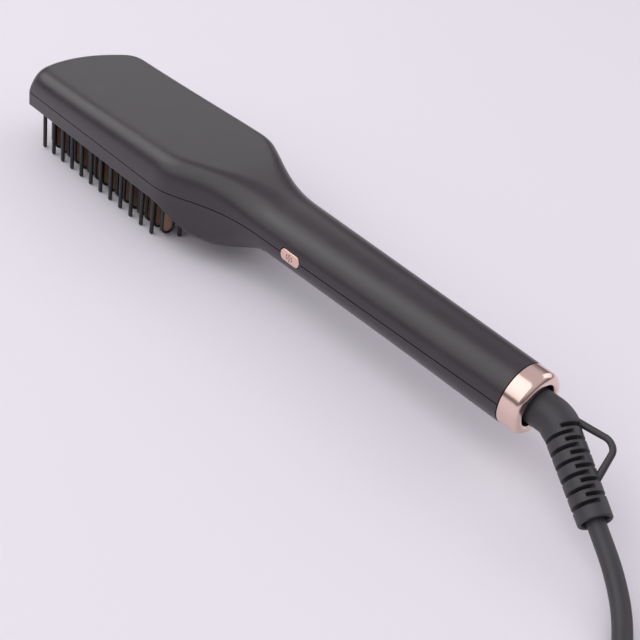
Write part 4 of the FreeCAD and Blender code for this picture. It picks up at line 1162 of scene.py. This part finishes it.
@dataclass
class PowerButton:
    """The rose gold key on the parting line, with its heat sign."""

    place: float = 175.4
    length: float = 11.0
    height: float = 5.0
    corner: float = 2.2
    least_corner: float = 0.3
    proud: float = 0.35
    crown_inset: float = 1.9
    crown_rise: float = 0.02
    flat_inset: float = 1.0
    edge_round: float = 0.42
    edge_drop: float = 0.05
    edge_steps: int = 5
    outline_steps: int = 10
    flange: float = 0.7
    flange_depth: float = 3.0
    flange_thickness: float = 1.0
    stem_radius: float = 1.5
    stem_length: float = 1.65
    stem_overlap: float = 0.2
    stem_steps: int = 32
    wave_height: float = 3.3
    wave_width: float = 0.42
    wave_spacing: float = 1.35
    wave_swing: float = 0.24
    wave_steps: int = 16
    outer_wave_share: float = 0.66
    sign_proud: float = 0.03
    sign_thickness: float = 0.12

    def ring(self, work: MeshRows, grow: float, y: float) -> list[int]:
        """A row round the key's outline, grown, at a depth.

        Args:
            work: The mesh under construction.
            grow: How far the outline grows.
            y: Where the row lies across the brush.

        Returns:
            The row's indices.
        """
        corner = max(self.corner + grow, self.least_corner)
        outline = rounded_outline(self.length / 2 + grow, self.height / 2 + grow, corner, self.outline_steps)
        return work.row([(self.place + a, y, b) for a, b in outline])

    def build(self, casing: Casing) -> None:
        """Builds the key and the sign printed on it.

        Args:
            casing: The casing that the key stands proud of.
        """
        side = casing.half_width(self.place)
        face = -side - self.proud
        front = -side + self.flange_depth
        back = front + self.flange_thickness
        edge = self.edge_round
        levels = [(-self.crown_inset, face - self.crown_rise), (-self.flat_inset, face)]
        levels += [(-edge + edge * s, face + self.edge_drop + edge * (1 - c))
                   for c, s in quarter(self.edge_steps)]
        levels += [(0.0, front), (self.flange, front), (self.flange, back)]
        work = MeshRows()
        work.tube([self.ring(work, grow, y) for grow, y in levels])
        stem = [(self.place + self.stem_radius * c, self.stem_radius * s) for c, s in circle(self.stem_steps)]
        ends = (back - self.stem_overlap, back + self.stem_length)
        work.tube([work.row([(x, y, z) for x, z in stem]) for y in ends])
        give(work.build("rose_key", ROSE_SATIN), Body.BUTTON, "rose_gold_satin", "power_button")
        self.build_sign(face)

    def build_sign(self, face: float) -> None:
        """Three rising waves on the key's face.

        Args:
            face: Where the key's face lies across the brush.
        """
        work = MeshRows()
        front_y = face - self.sign_proud
        back_y = front_y + self.sign_thickness
        for index in (-1, 0, 1):
            tall = self.wave_height * (1.0 if index == 0 else self.outer_wave_share)
            line = []
            for step in range(self.wave_steps + 1):
                share = step / self.wave_steps
                sway = self.wave_swing * math.sin(FULL_TURN * share)
                line.append((self.place + index * self.wave_spacing + sway, tall * (share - 0.5)))
            half = self.wave_width / 2
            corners = ((-half, front_y), (half, front_y), (-half, back_y), (half, back_y))
            edges = [work.row([(x + shift, y, z) for x, z in line]) for shift, y in corners]
            near_left, near_right, far_left, far_right = edges
            work.join([far_left, near_left, near_right, far_right, far_left])
            for end in (0, -1):
                work.faces.append((near_left[end], near_right[end], far_right[end], far_left[end]))
        give(work.build("heat_sign", ICON_BROWN), Body.BUTTON, "rose_gold_satin")


@dataclass
class CordBoot:
    """The bent strain relief with staggered slots, and the hanging loop on its outside."""

    swing: float = math.radians(50.0)
    root: float = 288.1
    straight: float = 7.6
    elbow_radius: float = 11.6
    elbow_angle: float = math.radians(32.0)
    root_radius: float = 7.0
    sleeve_length: float = 34.4
    sleeve_taper: float = 2.6
    sleeve_start_radius: float = 6.5
    sleeve_end_radius: float = 6.0
    slot_count: int = 6
    slot_pitch: float = 5.0
    slot_first: float = 1.0
    slot_width: float = 1.2
    slot_depth: float = 2.7
    slot_waist: float = -2.0
    slot_stagger: float = 0.5
    slot_ramp: float = 0.5
    slot_turn: float = math.radians(-68.0)
    slot_soft: float = 0.22
    mouth_radius: float = 4.7
    mouth_depth: float = 3.5
    mouth_flare: float = 0.6
    end_round: float = 0.6
    loop_radius: float = 1.2
    loop_root_in: float = -1.75
    loop_root_out: float = 21.75
    loop_sink: float = 2.0
    loop_reach: float = 7.3
    loop_apex: float = 11.4
    loop_apex_width: float = 2.0
    loop_bend_share: float = 0.45
    loop_bend_steps: int = 10
    loop_foot_share: float = 0.12
    loop_foot_power: int = 4
    loop_around: int = 28
    straight_shares: tuple[float, ...] = (0.0, 0.5, 1.0)
    elbow_steps: int = 16
    sleeve_steps: int = 260
    end_steps: int = 6
    around: int = 128
    sharp_angle: float = 50.0

    def __post_init__(self) -> None:
        """Works out where the straight sleeve starts and which way it points."""
        elbow_x = self.root + self.straight + self.elbow_radius * math.sin(self.elbow_angle)
        drop = self.elbow_radius * (1 - math.cos(self.elbow_angle))
        self.sleeve_root = np.array([elbow_x, 0.0, -drop])
        self.way = np.array([math.cos(self.elbow_angle), 0.0, -math.sin(self.elbow_angle)])
        self.side = np.array([math.sin(self.elbow_angle), 0.0, math.cos(self.elbow_angle)])
        self.sleeve_end = self.sleeve_root + self.way * self.sleeve_length

    def swung(self, points: np.ndarray) -> np.ndarray:
        """Turns points from the upright plane to the way the boot hangs."""
        turn = np.array(Matrix.Rotation(-self.swing, 3, "X"))
        return np.asarray(points) @ turn.T

    def sleeve_radius(self, along: float) -> float:
        """Radius of the tapering sleeve.

        Args:
            along: Distance from the sleeve's root.

        Returns:
            The radius there.
        """
        if along < self.sleeve_taper:
            share = max(along, 0.0) / self.sleeve_taper
            return self.root_radius + (self.sleeve_start_radius - self.root_radius) * share
        share = (along - self.sleeve_taper) / (self.sleeve_length - self.sleeve_taper)
        return self.sleeve_start_radius + (self.sleeve_end_radius - self.sleeve_start_radius) * share

    def slot_share(self, along: float, angle: float) -> float:
        """How deep a point of the sleeve is in a slot, from 0 to 1.

        Args:
            along: Distance from the sleeve's root.
            angle: Angle round the sleeve.

        Returns:
            0 on the skin and 1 on a slot's floor.
        """
        radius = self.sleeve_radius(along)
        deepest = 0.0
        for way, stagger in ((-1.0, 0.0), (1.0, self.slot_stagger)):
            reach = way * radius * math.cos(angle - self.slot_turn) - self.slot_waist
            if reach <= 0:
                continue
            across = min(reach / self.slot_ramp, 1.0)
            for index in range(self.slot_count):
                start = self.slot_first + self.slot_pitch * (index + stagger)
                inside = min(along - start, start + self.slot_width - along)
                share = min(max(inside / self.slot_soft + 0.5, 0.0), 1.0)
                deepest = max(deepest, share * across)
        return deepest

    def ring(self, centre: np.ndarray, side: np.ndarray, radii: Sequence[float]) -> list[np.ndarray]:
        """Points round the boot's line; angle 0 is towards the near side and a quarter turn the outside.

        Args:
            centre: The ring's centre.
            side: The way to the outside of the bend.
            radii: A radius for each point.

        Returns:
            The points in order.
        """
        near = np.array([0.0, -1.0, 0.0])
        turns = circle(self.around)
        return [centre + (near * c + side * s) * radius for (c, s), radius in zip(turns, radii)]

    def sleeve_ring(self, along: float, radii: Sequence[float]) -> np.ndarray:
        """Points round the straight sleeve, the way it hangs."""
        return self.swung(self.ring(self.sleeve_root + self.way * along, self.side, radii))

    def build_boot(self) -> None:
        """Builds the boot as one skin, with the slots sunk into it."""
        work = MeshRows()
        rows = []
        up = np.array([0.0, 0.0, 1.0])
        whole = [self.root_radius] * self.around
        start = np.array([self.root, 0.0, 0.0])
        for share in self.straight_shares:
            centre = start + np.array([self.straight * share, 0.0, 0.0])
            rows.append(work.row(self.swung(self.ring(centre, up, whole))))
        for step in range(1, self.elbow_steps + 1):
            angle = self.elbow_angle * step / self.elbow_steps
            run = self.straight + self.elbow_radius * math.sin(angle)
            drop = self.elbow_radius * (1 - math.cos(angle))
            side = np.array([math.sin(angle), 0.0, math.cos(angle)])
            rows.append(work.row(self.swung(self.ring(start + np.array([run, 0.0, -drop]), side, whole))))
        shoulder = self.sleeve_length - self.end_round
        for step in range(1, self.sleeve_steps + 1):
            along = shoulder * step / self.sleeve_steps
            radii = []
            for index in range(self.around):
                depth = self.slot_depth * self.slot_share(along, FULL_TURN * index / self.around)
                radii.append(self.sleeve_radius(along) - depth)
            rows.append(work.row(self.sleeve_ring(along, radii)))
        mouth = [(shoulder + self.end_round * s, self.sleeve_end_radius - self.end_round * (1 - c))
                 for c, s in quarter(self.end_steps)[1:]]
        mouth += [(self.sleeve_length, self.mouth_radius + self.mouth_flare),
                  (self.sleeve_length - self.mouth_flare, self.mouth_radius),
                  (self.sleeve_length - self.mouth_depth, self.mouth_radius)]
        rows += [work.row(self.sleeve_ring(along, [radius] * self.around)) for along, radius in mouth]
        work.tube(rows)
        give(work.build("ribbed_boot", CORD_BLACK, self.sharp_angle), Body.SWIVEL, "cord_black", "cord_boot")

    def beside(self, along: float, radial: float) -> np.ndarray:
        """A point on the outside of the sleeve."""
        return self.sleeve_root + self.way * along + self.side * radial

    def loop_line(self) -> np.ndarray:
        """Centreline of the hanging loop, with its two bends rounded.

        Returns:
            The line's points.
        """
        apex = self.sleeve_radius(self.loop_apex) + self.loop_reach
        corners = [self.beside(self.loop_root_in, self.sleeve_radius(0.0) - self.loop_sink),
                   self.beside(self.loop_apex - self.loop_apex_width, apex),
                   self.beside(self.loop_apex + self.loop_apex_width, apex),
                   self.beside(self.loop_root_out, self.sleeve_radius(self.loop_root_out) - self.loop_sink)]
        return corner_line(corners, self.loop_bend_share, self.loop_bend_steps)

    def loop_size(self, share: float) -> float:
        """Radius of the loop, a little fuller at its feet."""
        return self.loop_radius * (1.0 + self.loop_foot_share * (2 * share - 1) ** self.loop_foot_power)

    def build_loop(self) -> None:
        """Builds the hanging loop."""
        work = MeshRows()
        sweep(work, self.swung(self.loop_line()), self.loop_size, self.loop_around)
        loop = work.build("moulded_loop", CORD_BLACK, self.sharp_angle)
        give(loop, Body.SWIVEL, "cord_black", "hanging_loop")

    def build(self) -> None:
        """Builds boot and loop."""
        self.build_boot()
        self.build_loop()


def corner_line(corners: Sequence[np.ndarray], share: float, steps: int) -> np.ndarray:
    """A line through a moulded loop's corners, each rounded with a quadratic curve.

    Args:
        corners: The corners in order.
        share: How much of the shorter neighbouring run each bend takes.
        steps: Steps in each bend.

    Returns:
        The line's points.
    """
    line = [corners[0]]
    for before, corner, after in zip(corners, corners[1:], corners[2:]):
        trim = share * min(np.linalg.norm(before - corner), np.linalg.norm(after - corner))
        first = corner + (before - corner) / np.linalg.norm(before - corner) * trim
        last = corner + (after - corner) / np.linalg.norm(after - corner) * trim
        for step in range(steps + 1):
            t = step / steps
            line.append(first * (1 - t) ** 2 + corner * 2 * t * (1 - t) + last * t ** 2)
    line.append(corners[-1])
    return np.array(line)


def sweep(work: MeshRows, line: np.ndarray, radius: Callable[[float], float], around: int) -> None:
    """Adds a round tube along a line, with its ends closed.

    Args:
        work: The mesh under construction.
        line: Points along the tube.
        radius: Radius by share of the line's length.
        around: Points round the tube.
    """
    steps = np.linalg.norm(np.diff(line, axis=0), axis=1)
    keep = np.concatenate([[True], steps > SAME_SPOT])
    line = line[keep]
    shares = np.concatenate([[0.0], np.cumsum(np.linalg.norm(np.diff(line, axis=0), axis=1))])
    shares /= shares[-1]
    tangents = np.gradient(line, axis=0)
    tangents /= np.linalg.norm(tangents, axis=1)[:, None]
    first = np.cross(tangents[0], [0.0, 0.0, 1.0])
    if np.linalg.norm(first) < NO_LENGTH:
        first = np.array([1.0, 0.0, 0.0])
    normal = first / np.linalg.norm(first)
    rows = []
    for point, tangent, share in zip(line, tangents, shares):
        normal = normal - tangent * np.dot(normal, tangent)
        normal /= np.linalg.norm(normal)
        across = np.cross(tangent, normal)
        size = radius(float(share))
        rows.append(work.row([point + (normal * c + across * s) * size for c, s in circle(around)]))
    work.tube(rows)


@dataclass(frozen=True)
class PlugSection:
    """One section of the plug: its place, its half sizes and how square it is."""

    along: float
    half_width: float
    half_height: float
    power: float

    def ring(self, steps: int) -> list[Point]:
        """Points round the section, between an ellipse and a rectangle.

        Args:
            steps: How many points there are.

        Returns:
            The points in order.
        """
        points = []
        for c, s in circle(steps):
            y = math.copysign(abs(c) ** (2 / self.power), c) * self.half_width
            z = math.copysign(abs(s) ** (2 / self.power), s) * self.half_height
            points.append((self.along, y, z))
        return points


@dataclass
class Lead:
    """The mains lead: from the boot, along the table, round its coil and into the plug."""

    radius: float = 3.2
    lift: float = 0.05
    stub_out: float = 2.0
    stub_gap: float = 0.3
    first_run: float = 5.0
    route: tuple[Point, ...] = (
        (343.7, -21.6, -17.9), (351.3, -27.0, -20.6), (357.2, -32.5, -22.9),
        (362.3, -39.1, -24.6), (369.0, -46.3, -25.35), (379.0, -55.6, -25.1),
        (391.0, -63.1, -24.1))
    settled_index: int = 2
    coil_start: Flat = (416.1, -70.0)
    coil_heading: float = math.radians(-16.6)
    coil_lead: float = 13.4
    coil_radius: float = 48.5
    coil_pitch: float = 6.9
    coil_layer: float = 6.9
    layer_turns: float = 3.0
    climb_turns: float = 0.53
    points_a_turn: int = 16
    turn_step: float = 1.0 / 720
    tie_thickness: float = 1.0
    tie_width: float = 5.0
    tie_gap: float = 0.35
    tie_turn: float = 0.37
    tie_corner: float = 1.2
    tie_corner_steps: int = 6
    tie_bevel: float = 0.25
    tie_shoulder_share: float = 0.75
    tail_first_run: float = 14.0
    tail_run: float = 16.0
    tail_runs: int = 7
    tail_first_turn: float = math.radians(20.0)
    tail_turn: float = math.radians(25.0)
    tail_climb_runs: int = 4
    plug_gap: float = 0.35
    plug_bore_gap: float = 0.1
    plug_overlap: float = 3.0
    plug_length: float = 26.0
    plug_width: float = 26.0
    plug_thickness: float = 13.7
    plug_neck: float = 14.0
    plug_round: float = 2.0
    plug_square: float = 5.0
    plug_neck_sections: tuple[PlugSection, ...] = (
        PlugSection(0.0, 4.7, 4.7, 2.0), PlugSection(0.7, 5.4, 5.4, 2.0), PlugSection(4.0, 5.5, 5.5, 2.0),
        PlugSection(8.0, 6.6, 5.9, 2.2), PlugSection(11.0, 9.2, 6.4, 2.6))
    plug_shoulder: tuple[Point, ...] = ((0.0, 1.2, 3.4), (3.0, 0.2, 4.2), (7.0, 0.0, 5.0))
    plug_nose: tuple[Point, ...] = ((6.0, 0.0, 0.0), (1.4, 0.3, 0.0), (0.5, 0.8, 0.4), (0.0, 1.6, 1.2))
    plug_around: int = 72
    plug_sharp_angle: float = 45.0
    line_steps: int = 6
    line_order: int = 3
    around: int = 22
    sharp_angle: float = 60.0
    real_length: float = 1.76

    def __post_init__(self) -> None:
        """Works out where the coil lies."""
        self.turns = 2 * self.layer_turns + self.climb_turns
        self.floor = self.radius + self.lift + self.tie_thickness + self.tie_gap - PIN_REACH
        left = np.array([-math.sin(self.coil_heading), math.cos(self.coil_heading), 0.0])
        self.centre = np.array([*self.coil_start, self.floor]) + left * self.coil_radius

    def turn_radius(self, turn: float) -> float:
        """Radius of the coil's line: in at a steady rate, and out again from the middle turn."""
        return self.coil_radius - self.coil_pitch * (self.turns / 2 - abs(turn - self.turns / 2))

    def turn_angle(self, turn: float) -> float:
        """Angle round the coil's centre."""
        return self.coil_heading - QUARTER_TURN + FULL_TURN * turn

    def coil_point(self, turn: float, grow: float = 1.0) -> np.ndarray:
        """A point of the coil, its radius grown by a share.

        Args:
            turn: Turns from the coil's start.
            grow: What the radius is multiplied by.

        Returns:
            The point.
        """
        rise = self.coil_layer * smooth(self.layer_turns, self.layer_turns + self.climb_turns, turn)
        angle = self.turn_angle(turn)
        flat = np.array([math.cos(angle), math.sin(angle), 0.0]) * self.turn_radius(turn) * grow
        return self.centre + flat + np.array([0.0, 0.0, rise])

    def coil_way(self, turn: float) -> np.ndarray:
        """Direction of the coil's line.

        Args:
            turn: Turns from the coil's start.

        Returns:
            A vector of length 1.
        """
        ahead = self.coil_point(min(turn + self.turn_step, self.turns))
        way = ahead - self.coil_point(max(turn - self.turn_step, 0.0))
        return way / np.linalg.norm(way)

    def control_points(self, boot: CordBoot) -> list[np.ndarray]:
        """The lead's route: boot, table, coil turns, tail and plug entry.

        Args:
            boot: The boot that the lead comes out of.

        Returns:
            The route's points in the drawing's frame.
        """
        way = boot.swung(boot.way)
        end = boot.swung(boot.sleeve_end)
        start = end + way * (self.stub_out + self.stub_gap)
        points = [end - way * boot.mouth_depth, start, start + way * self.first_run]
        points += [np.array(point) for point in self.route]
        points.append(self.coil_point(0.0) - self.coil_way(0.0) * self.coil_lead)
        count = round(self.turns * self.points_a_turn)
        grow = 1.0 / math.cos(math.pi / self.points_a_turn)
        points += [self.coil_point(self.turns * (step + 0.5) / count, grow) for step in range(count)]
        return points + self.tail_points()

    def tail_points(self) -> list[np.ndarray]:
        """The route from the coil's end, round and up onto the coil to the plug's neck.

        Returns:
            The route's last points.
        """
        start = self.coil_point(self.turns)
        way = self.coil_way(self.turns)
        climb = self.radius + self.plug_gap + self.plug_thickness / 2
        points = [start + way * self.tail_first_run]
        heading = math.atan2(way[1], way[0])
        for index in range(self.tail_runs):
            heading += self.tail_turn if index else self.tail_first_turn
            level = start[2] + climb * smooth(0.0, self.tail_climb_runs, index + 1)
            last = points[-1]
            points.append(np.array([last[0] + self.tail_run * math.cos(heading),
                                    last[1] + self.tail_run * math.sin(heading), level]))
        self.plug_place = points[-1]
        self.plug_heading = heading
        return points

    def spline_points(self, control: Sequence[np.ndarray]) -> np.ndarray:
        """Points read from a smooth spline with the route's points as its control points.

        Args:
            control: The route's points in the drawing's frame.

        Returns:
            Points along the spline, in the drawing's frame.
        """
        curve = bpy.data.curves.new("lead_line", "CURVE")
        curve.dimensions = "3D"
        curve.resolution_u = self.line_steps
        spline = curve.splines.new("NURBS")
        spline.points.add(len(control) - 1)
        for knot, point in zip(spline.points, control):
            knot.co = (*point, 1.0)
        spline.order_u = self.line_order
        spline.use_endpoint_u = True
        obj = in_scene("lead_line", curve)
        bpy.context.view_layer.update()
        graph = bpy.context.evaluated_depsgraph_get()
        mesh = bpy.data.meshes.new_from_object(obj.evaluated_get(graph))
        line = np.array([vertex.co[:] for vertex in mesh.vertices])
        bpy.data.objects.remove(obj)
        bpy.data.meshes.remove(mesh)
        return line

    def laid(self, points: np.ndarray) -> np.ndarray:
        """Turns points drawn along X to the plug's heading and place."""
        turn = np.array(Matrix.Rotation(self.plug_heading, 3, "Z"))
        return np.asarray(points) @ turn.T + self.plug_place

    def plug_sections(self) -> list[PlugSection]:
        """The plug's sections, from the cord's bore and the round neck to the soft nose.

        A shoulder has its distance past the neck, its step in from the side and its power. The nose has its
        distance back from the front, and its steps in from the side and from the top.

        Returns:
            The sections in order.
        """
        high = self.plug_thickness / 2
        wide = self.plug_width / 2
        front = self.plug_neck + self.plug_length
        bore = self.radius + self.plug_bore_gap
        sections = [PlugSection(0.0, bore, bore, self.plug_round), *self.plug_neck_sections]
        sections += [PlugSection(self.plug_neck + past, wide - side, high, power)
                     for past, side, power in self.plug_shoulder]
        sections += [PlugSection(front - back, wide - side, high - top, self.plug_square)
                     for back, side, top in self.plug_nose]
        return sections

    def build_plug(self) -> bpy.types.Object:
        """A flat two-pole plug with a round neck and soft edges.

        Returns:
            The plug.
        """
        work = MeshRows()
        work.tube([work.row(self.laid(section.ring(self.plug_around))) for section in self.plug_sections()])
        obj = work.build("mains_plug", CORD_BLACK, self.plug_sharp_angle)
        return give(obj, Body.HANDLE, "cord_black", "plug_body")

    def build_tie(self) -> bpy.types.Object:
        """A strap round the coil's turns, with rounded corners.

        Returns:
            The strap.
        """
        inner = self.turn_radius(self.turns / 2) - self.radius - self.tie_gap
        passes = math.ceil(self.turns - self.tie_turn)
        crossings = [self.turn_radius(self.tie_turn + turn) for turn in range(passes)]
        outer = max(crossings) + self.radius + self.tie_gap
        low = -self.radius - self.tie_gap
        high = self.coil_layer + self.radius + self.tie_gap
        half_x, half_z = (outer - inner) / 2, (high - low) / 2
        half_y = self.tie_width / 2
        thick = self.tie_thickness
        shoulder = thick * self.tie_shoulder_share
        flat = half_y - self.tie_bevel
        work = MeshRows()
        rows = []
        for grow, y in ((0.0, -half_y), (0.0, half_y), (shoulder, half_y), (thick, flat), (thick, -flat),
                        (shoulder, -half_y), (0.0, -half_y)):
            outline = rounded_outline(half_x + grow, half_z + grow, self.tie_corner + grow,
                                      self.tie_corner_steps)
            rows.append(work.row([((inner + outer) / 2 + a, y, (low + high) / 2 + b) for a, b in outline]))
        work.join(rows, closed=True)
        turn = np.array(Matrix.Rotation(self.turn_angle(self.tie_turn), 3, "Z"))
        work.points = [tuple(turn @ np.array(point) + self.centre) for point in work.points]
        return give(work.build("coil_strap", STRAP_BLACK), Body.HANDLE, "tie_black", "cord_tie")

    def build(self, boot: CordBoot) -> None:
        """Args:
            boot: The boot that the lead comes out of.
        """
        line = self.spline_points(self.control_points(boot))
        pieces = [self.build_plug(), self.build_tie(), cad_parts["plug_pins"]]
        ahead = np.array([math.cos(self.plug_heading), math.sin(self.plug_heading), 0.0])
        entry = self.plug_place + ahead * self.plug_overlap
        work = MeshRows()
        sweep(work, np.concatenate([line, [entry]]), lambda share: self.radius, self.around)
        cord = work.build("mains_lead", CORD_BLACK, self.sharp_angle)
        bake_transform(cord)
        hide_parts("cord_stub", "cord_run", "cord_coil", "cord_tail")
        drawn = np.linalg.norm(np.diff(line, axis=0), axis=1).sum()
        log.info("mains lead: %.1f mm along its line", drawn)


@dataclass
class InnerWorks:
    """The solids that are shown as they are, each with its finish."""

    finishes: dict[str, Finish] = field(default_factory=lambda: {
        "bristle_frame": BLACK_NYLON, "heating_plate": BARE_METAL, "ceramic_heaters": CERAMIC,
        "insulation_sheet": MICA, "heater_clamp": STEEL, "thermistor": AMBER, "thermal_fuse": STEEL,
        "plate_screws": STEEL, "case_screws": STEEL, "board_screws": STEEL, "circuit_board": BOARD,
        "board_components": DARK_PART, "tact_switch": DARK_PART, "switch_plunger": DARK_PART,
        "swivel_bush": BLACK_NYLON, "swivel_spool": BLACK_NYLON, "slip_rings": BRASS,
        "contact_springs": BRASS, "contact_block": BLACK_NYLON, "heater_leads": SLEEVE,
        "sensor_leads": SLEEVE, "mains_leads": SLEEVE, "plug_pins": PIN_METAL})

    def dress(self) -> None:
        """Gives every shown solid its finish."""
        for node, finish in self.finishes.items():
            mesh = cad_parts[node].data
            mesh.materials.clear()
            mesh.materials.append(finish.material())
            log.info("%s: %s", node, finish.name)


@dataclass(frozen=True)
class Softbox:
    """A square lamp aimed at a point, in metres and watts."""

    name: str
    place: Point
    size: float
    power: float
    target: Point = (0.0, 0.0, 0.0)

    def hang(self) -> None:
        """Adds the lamp to the stage."""
        light = bpy.data.lights.new(self.name, "AREA")
        light.shape = "SQUARE"
        light.size = self.size
        light.energy = self.power
        obj = in_scene(self.name, light)
        obj.location = self.place
        obj.rotation_euler = (Vector(self.target) - Vector(self.place)).to_track_quat("-Z", "Y").to_euler()


@dataclass
class Studio:
    """Pale floor, soft light and the camera."""

    camera_place: Point = (427.5, -269.6, 216.7)
    azimuth: float = math.radians(42.18)
    elevation: float = math.radians(34.22)
    roll: float = math.radians(10.81)
    lens: float = 59.29
    sensor: float = 36.0
    nearest: float = 0.01
    floor_half: float = 6.0
    floor_color: Color = (0.90, 0.872, 0.93)
    floor_roughness: float = 0.6
    floor_specular: float = 0.2
    world_color: Color = (0.97, 0.925, 0.985)
    world_strength: float = 0.60
    wall_share: float = 0.3
    wall_top: float = 0.24
    ceiling_start: float = 0.6
    softboxes: tuple[Softbox, ...] = (
        Softbox("key", (-0.25, -1.45, 1.65), 3.0, 25.0),
        Softbox("left", (-1.75, -0.65, 1.35), 1.5, 9.0),
        Softbox("rim", (-1.75, 1.2, 1.0), 1.3, 2.4),
        Softbox("ring", (0.35, 1.65, 0.9), 1.3, 4.6, target=(0.14, 0.0, 0.03)))

    def build_camera(self) -> None:
        """Sets the camera where the photograph was taken from."""
        camera = bpy.data.cameras.new("photo_camera")
        camera.lens = self.lens
        camera.sensor_width = self.sensor
        camera.clip_start = self.nearest
        obj = in_scene("photo_camera", camera)
        a, e = self.azimuth, self.elevation
        back = Vector((math.sin(a) * math.cos(e), -math.cos(a) * math.cos(e), math.sin(e)))
        right = Vector((math.cos(a), math.sin(a), 0.0))
        up = back.cross(right)
        turned_right = right * math.cos(self.roll) + up * math.sin(self.roll)
        turned_up = up * math.cos(self.roll) - right * math.sin(self.roll)
        matrix = Matrix((turned_right, turned_up, back)).transposed().to_4x4()
        matrix.translation = Vector(row_frame(np.array(self.camera_place)).tolist())
        obj.matrix_world = matrix
        bpy.context.scene.camera = obj

    def build_floor(self) -> None:
        """A wide pale table."""
        half = self.floor_half
        corners = [(-half, -half, 0), (half, -half, 0), (half, half, 0), (-half, half, 0)]
        mesh = bpy.data.meshes.new("table")
        mesh.from_pydata(corners, [], [(0, 1, 2, 3)])
        material = bpy.data.materials.new("pale table")
        material.use_nodes = True
        shader = material.node_tree.nodes["Principled BSDF"]
        shader.inputs["Base Color"].default_value = (*self.floor_color, 1.0)
        shader.inputs["Roughness"].default_value = self.floor_roughness
        shader.inputs["Specular IOR Level"].default_value = self.floor_specular
        mesh.materials.append(material)
        in_scene("table", mesh)

    def build(self) -> None:
        """Sets up camera, floor, lamps and world."""
        self.build_camera()
        self.build_floor()
        for softbox in self.softboxes:
            softbox.hang()
        self.build_world()
        bpy.context.scene.view_settings.view_transform = "Standard"

    def build_world(self) -> None:
        """Light that is dim at the horizon and bright overhead."""
        world = bpy.data.worlds.new("studio air")
        world.use_nodes = True
        tree = world.node_tree
        back = tree.nodes["Background"]
        back.inputs["Strength"].default_value = self.world_strength
        place = tree.nodes.new("ShaderNodeTexCoord")
        split = tree.nodes.new("ShaderNodeSeparateXYZ")
        ramp = tree.nodes.new("ShaderNodeValToRGB")
        wall, ceiling = ramp.color_ramp.elements
        wall.position = self.wall_top
        wall.color = (*[channel * self.wall_share for channel in self.world_color], 1.0)
        ceiling.position = self.ceiling_start
        ceiling.color = (*self.world_color, 1.0)
        tree.links.new(place.outputs["Generated"], split.inputs["Vector"])
        tree.links.new(split.outputs["Z"], ramp.inputs["Fac"])
        tree.links.new(ramp.outputs["Color"], back.inputs["Color"])
        bpy.context.scene.world = world


def main() -> None:
    """Builds every sub-assembly in order."""
    casing = Casing()
    button = PowerButton()
    boot = CordBoot()
    Studio().build()
    Lead().build(boot)
    casing.build(button)
    BristleField().build()
    EndRing(casing.handle_end, casing.end_radius).build()
    button.build(casing)
    boot.build()
    InnerWorks().dress()
    bpy.context.view_layer.update()


if __name__ == "__main__":
    main()
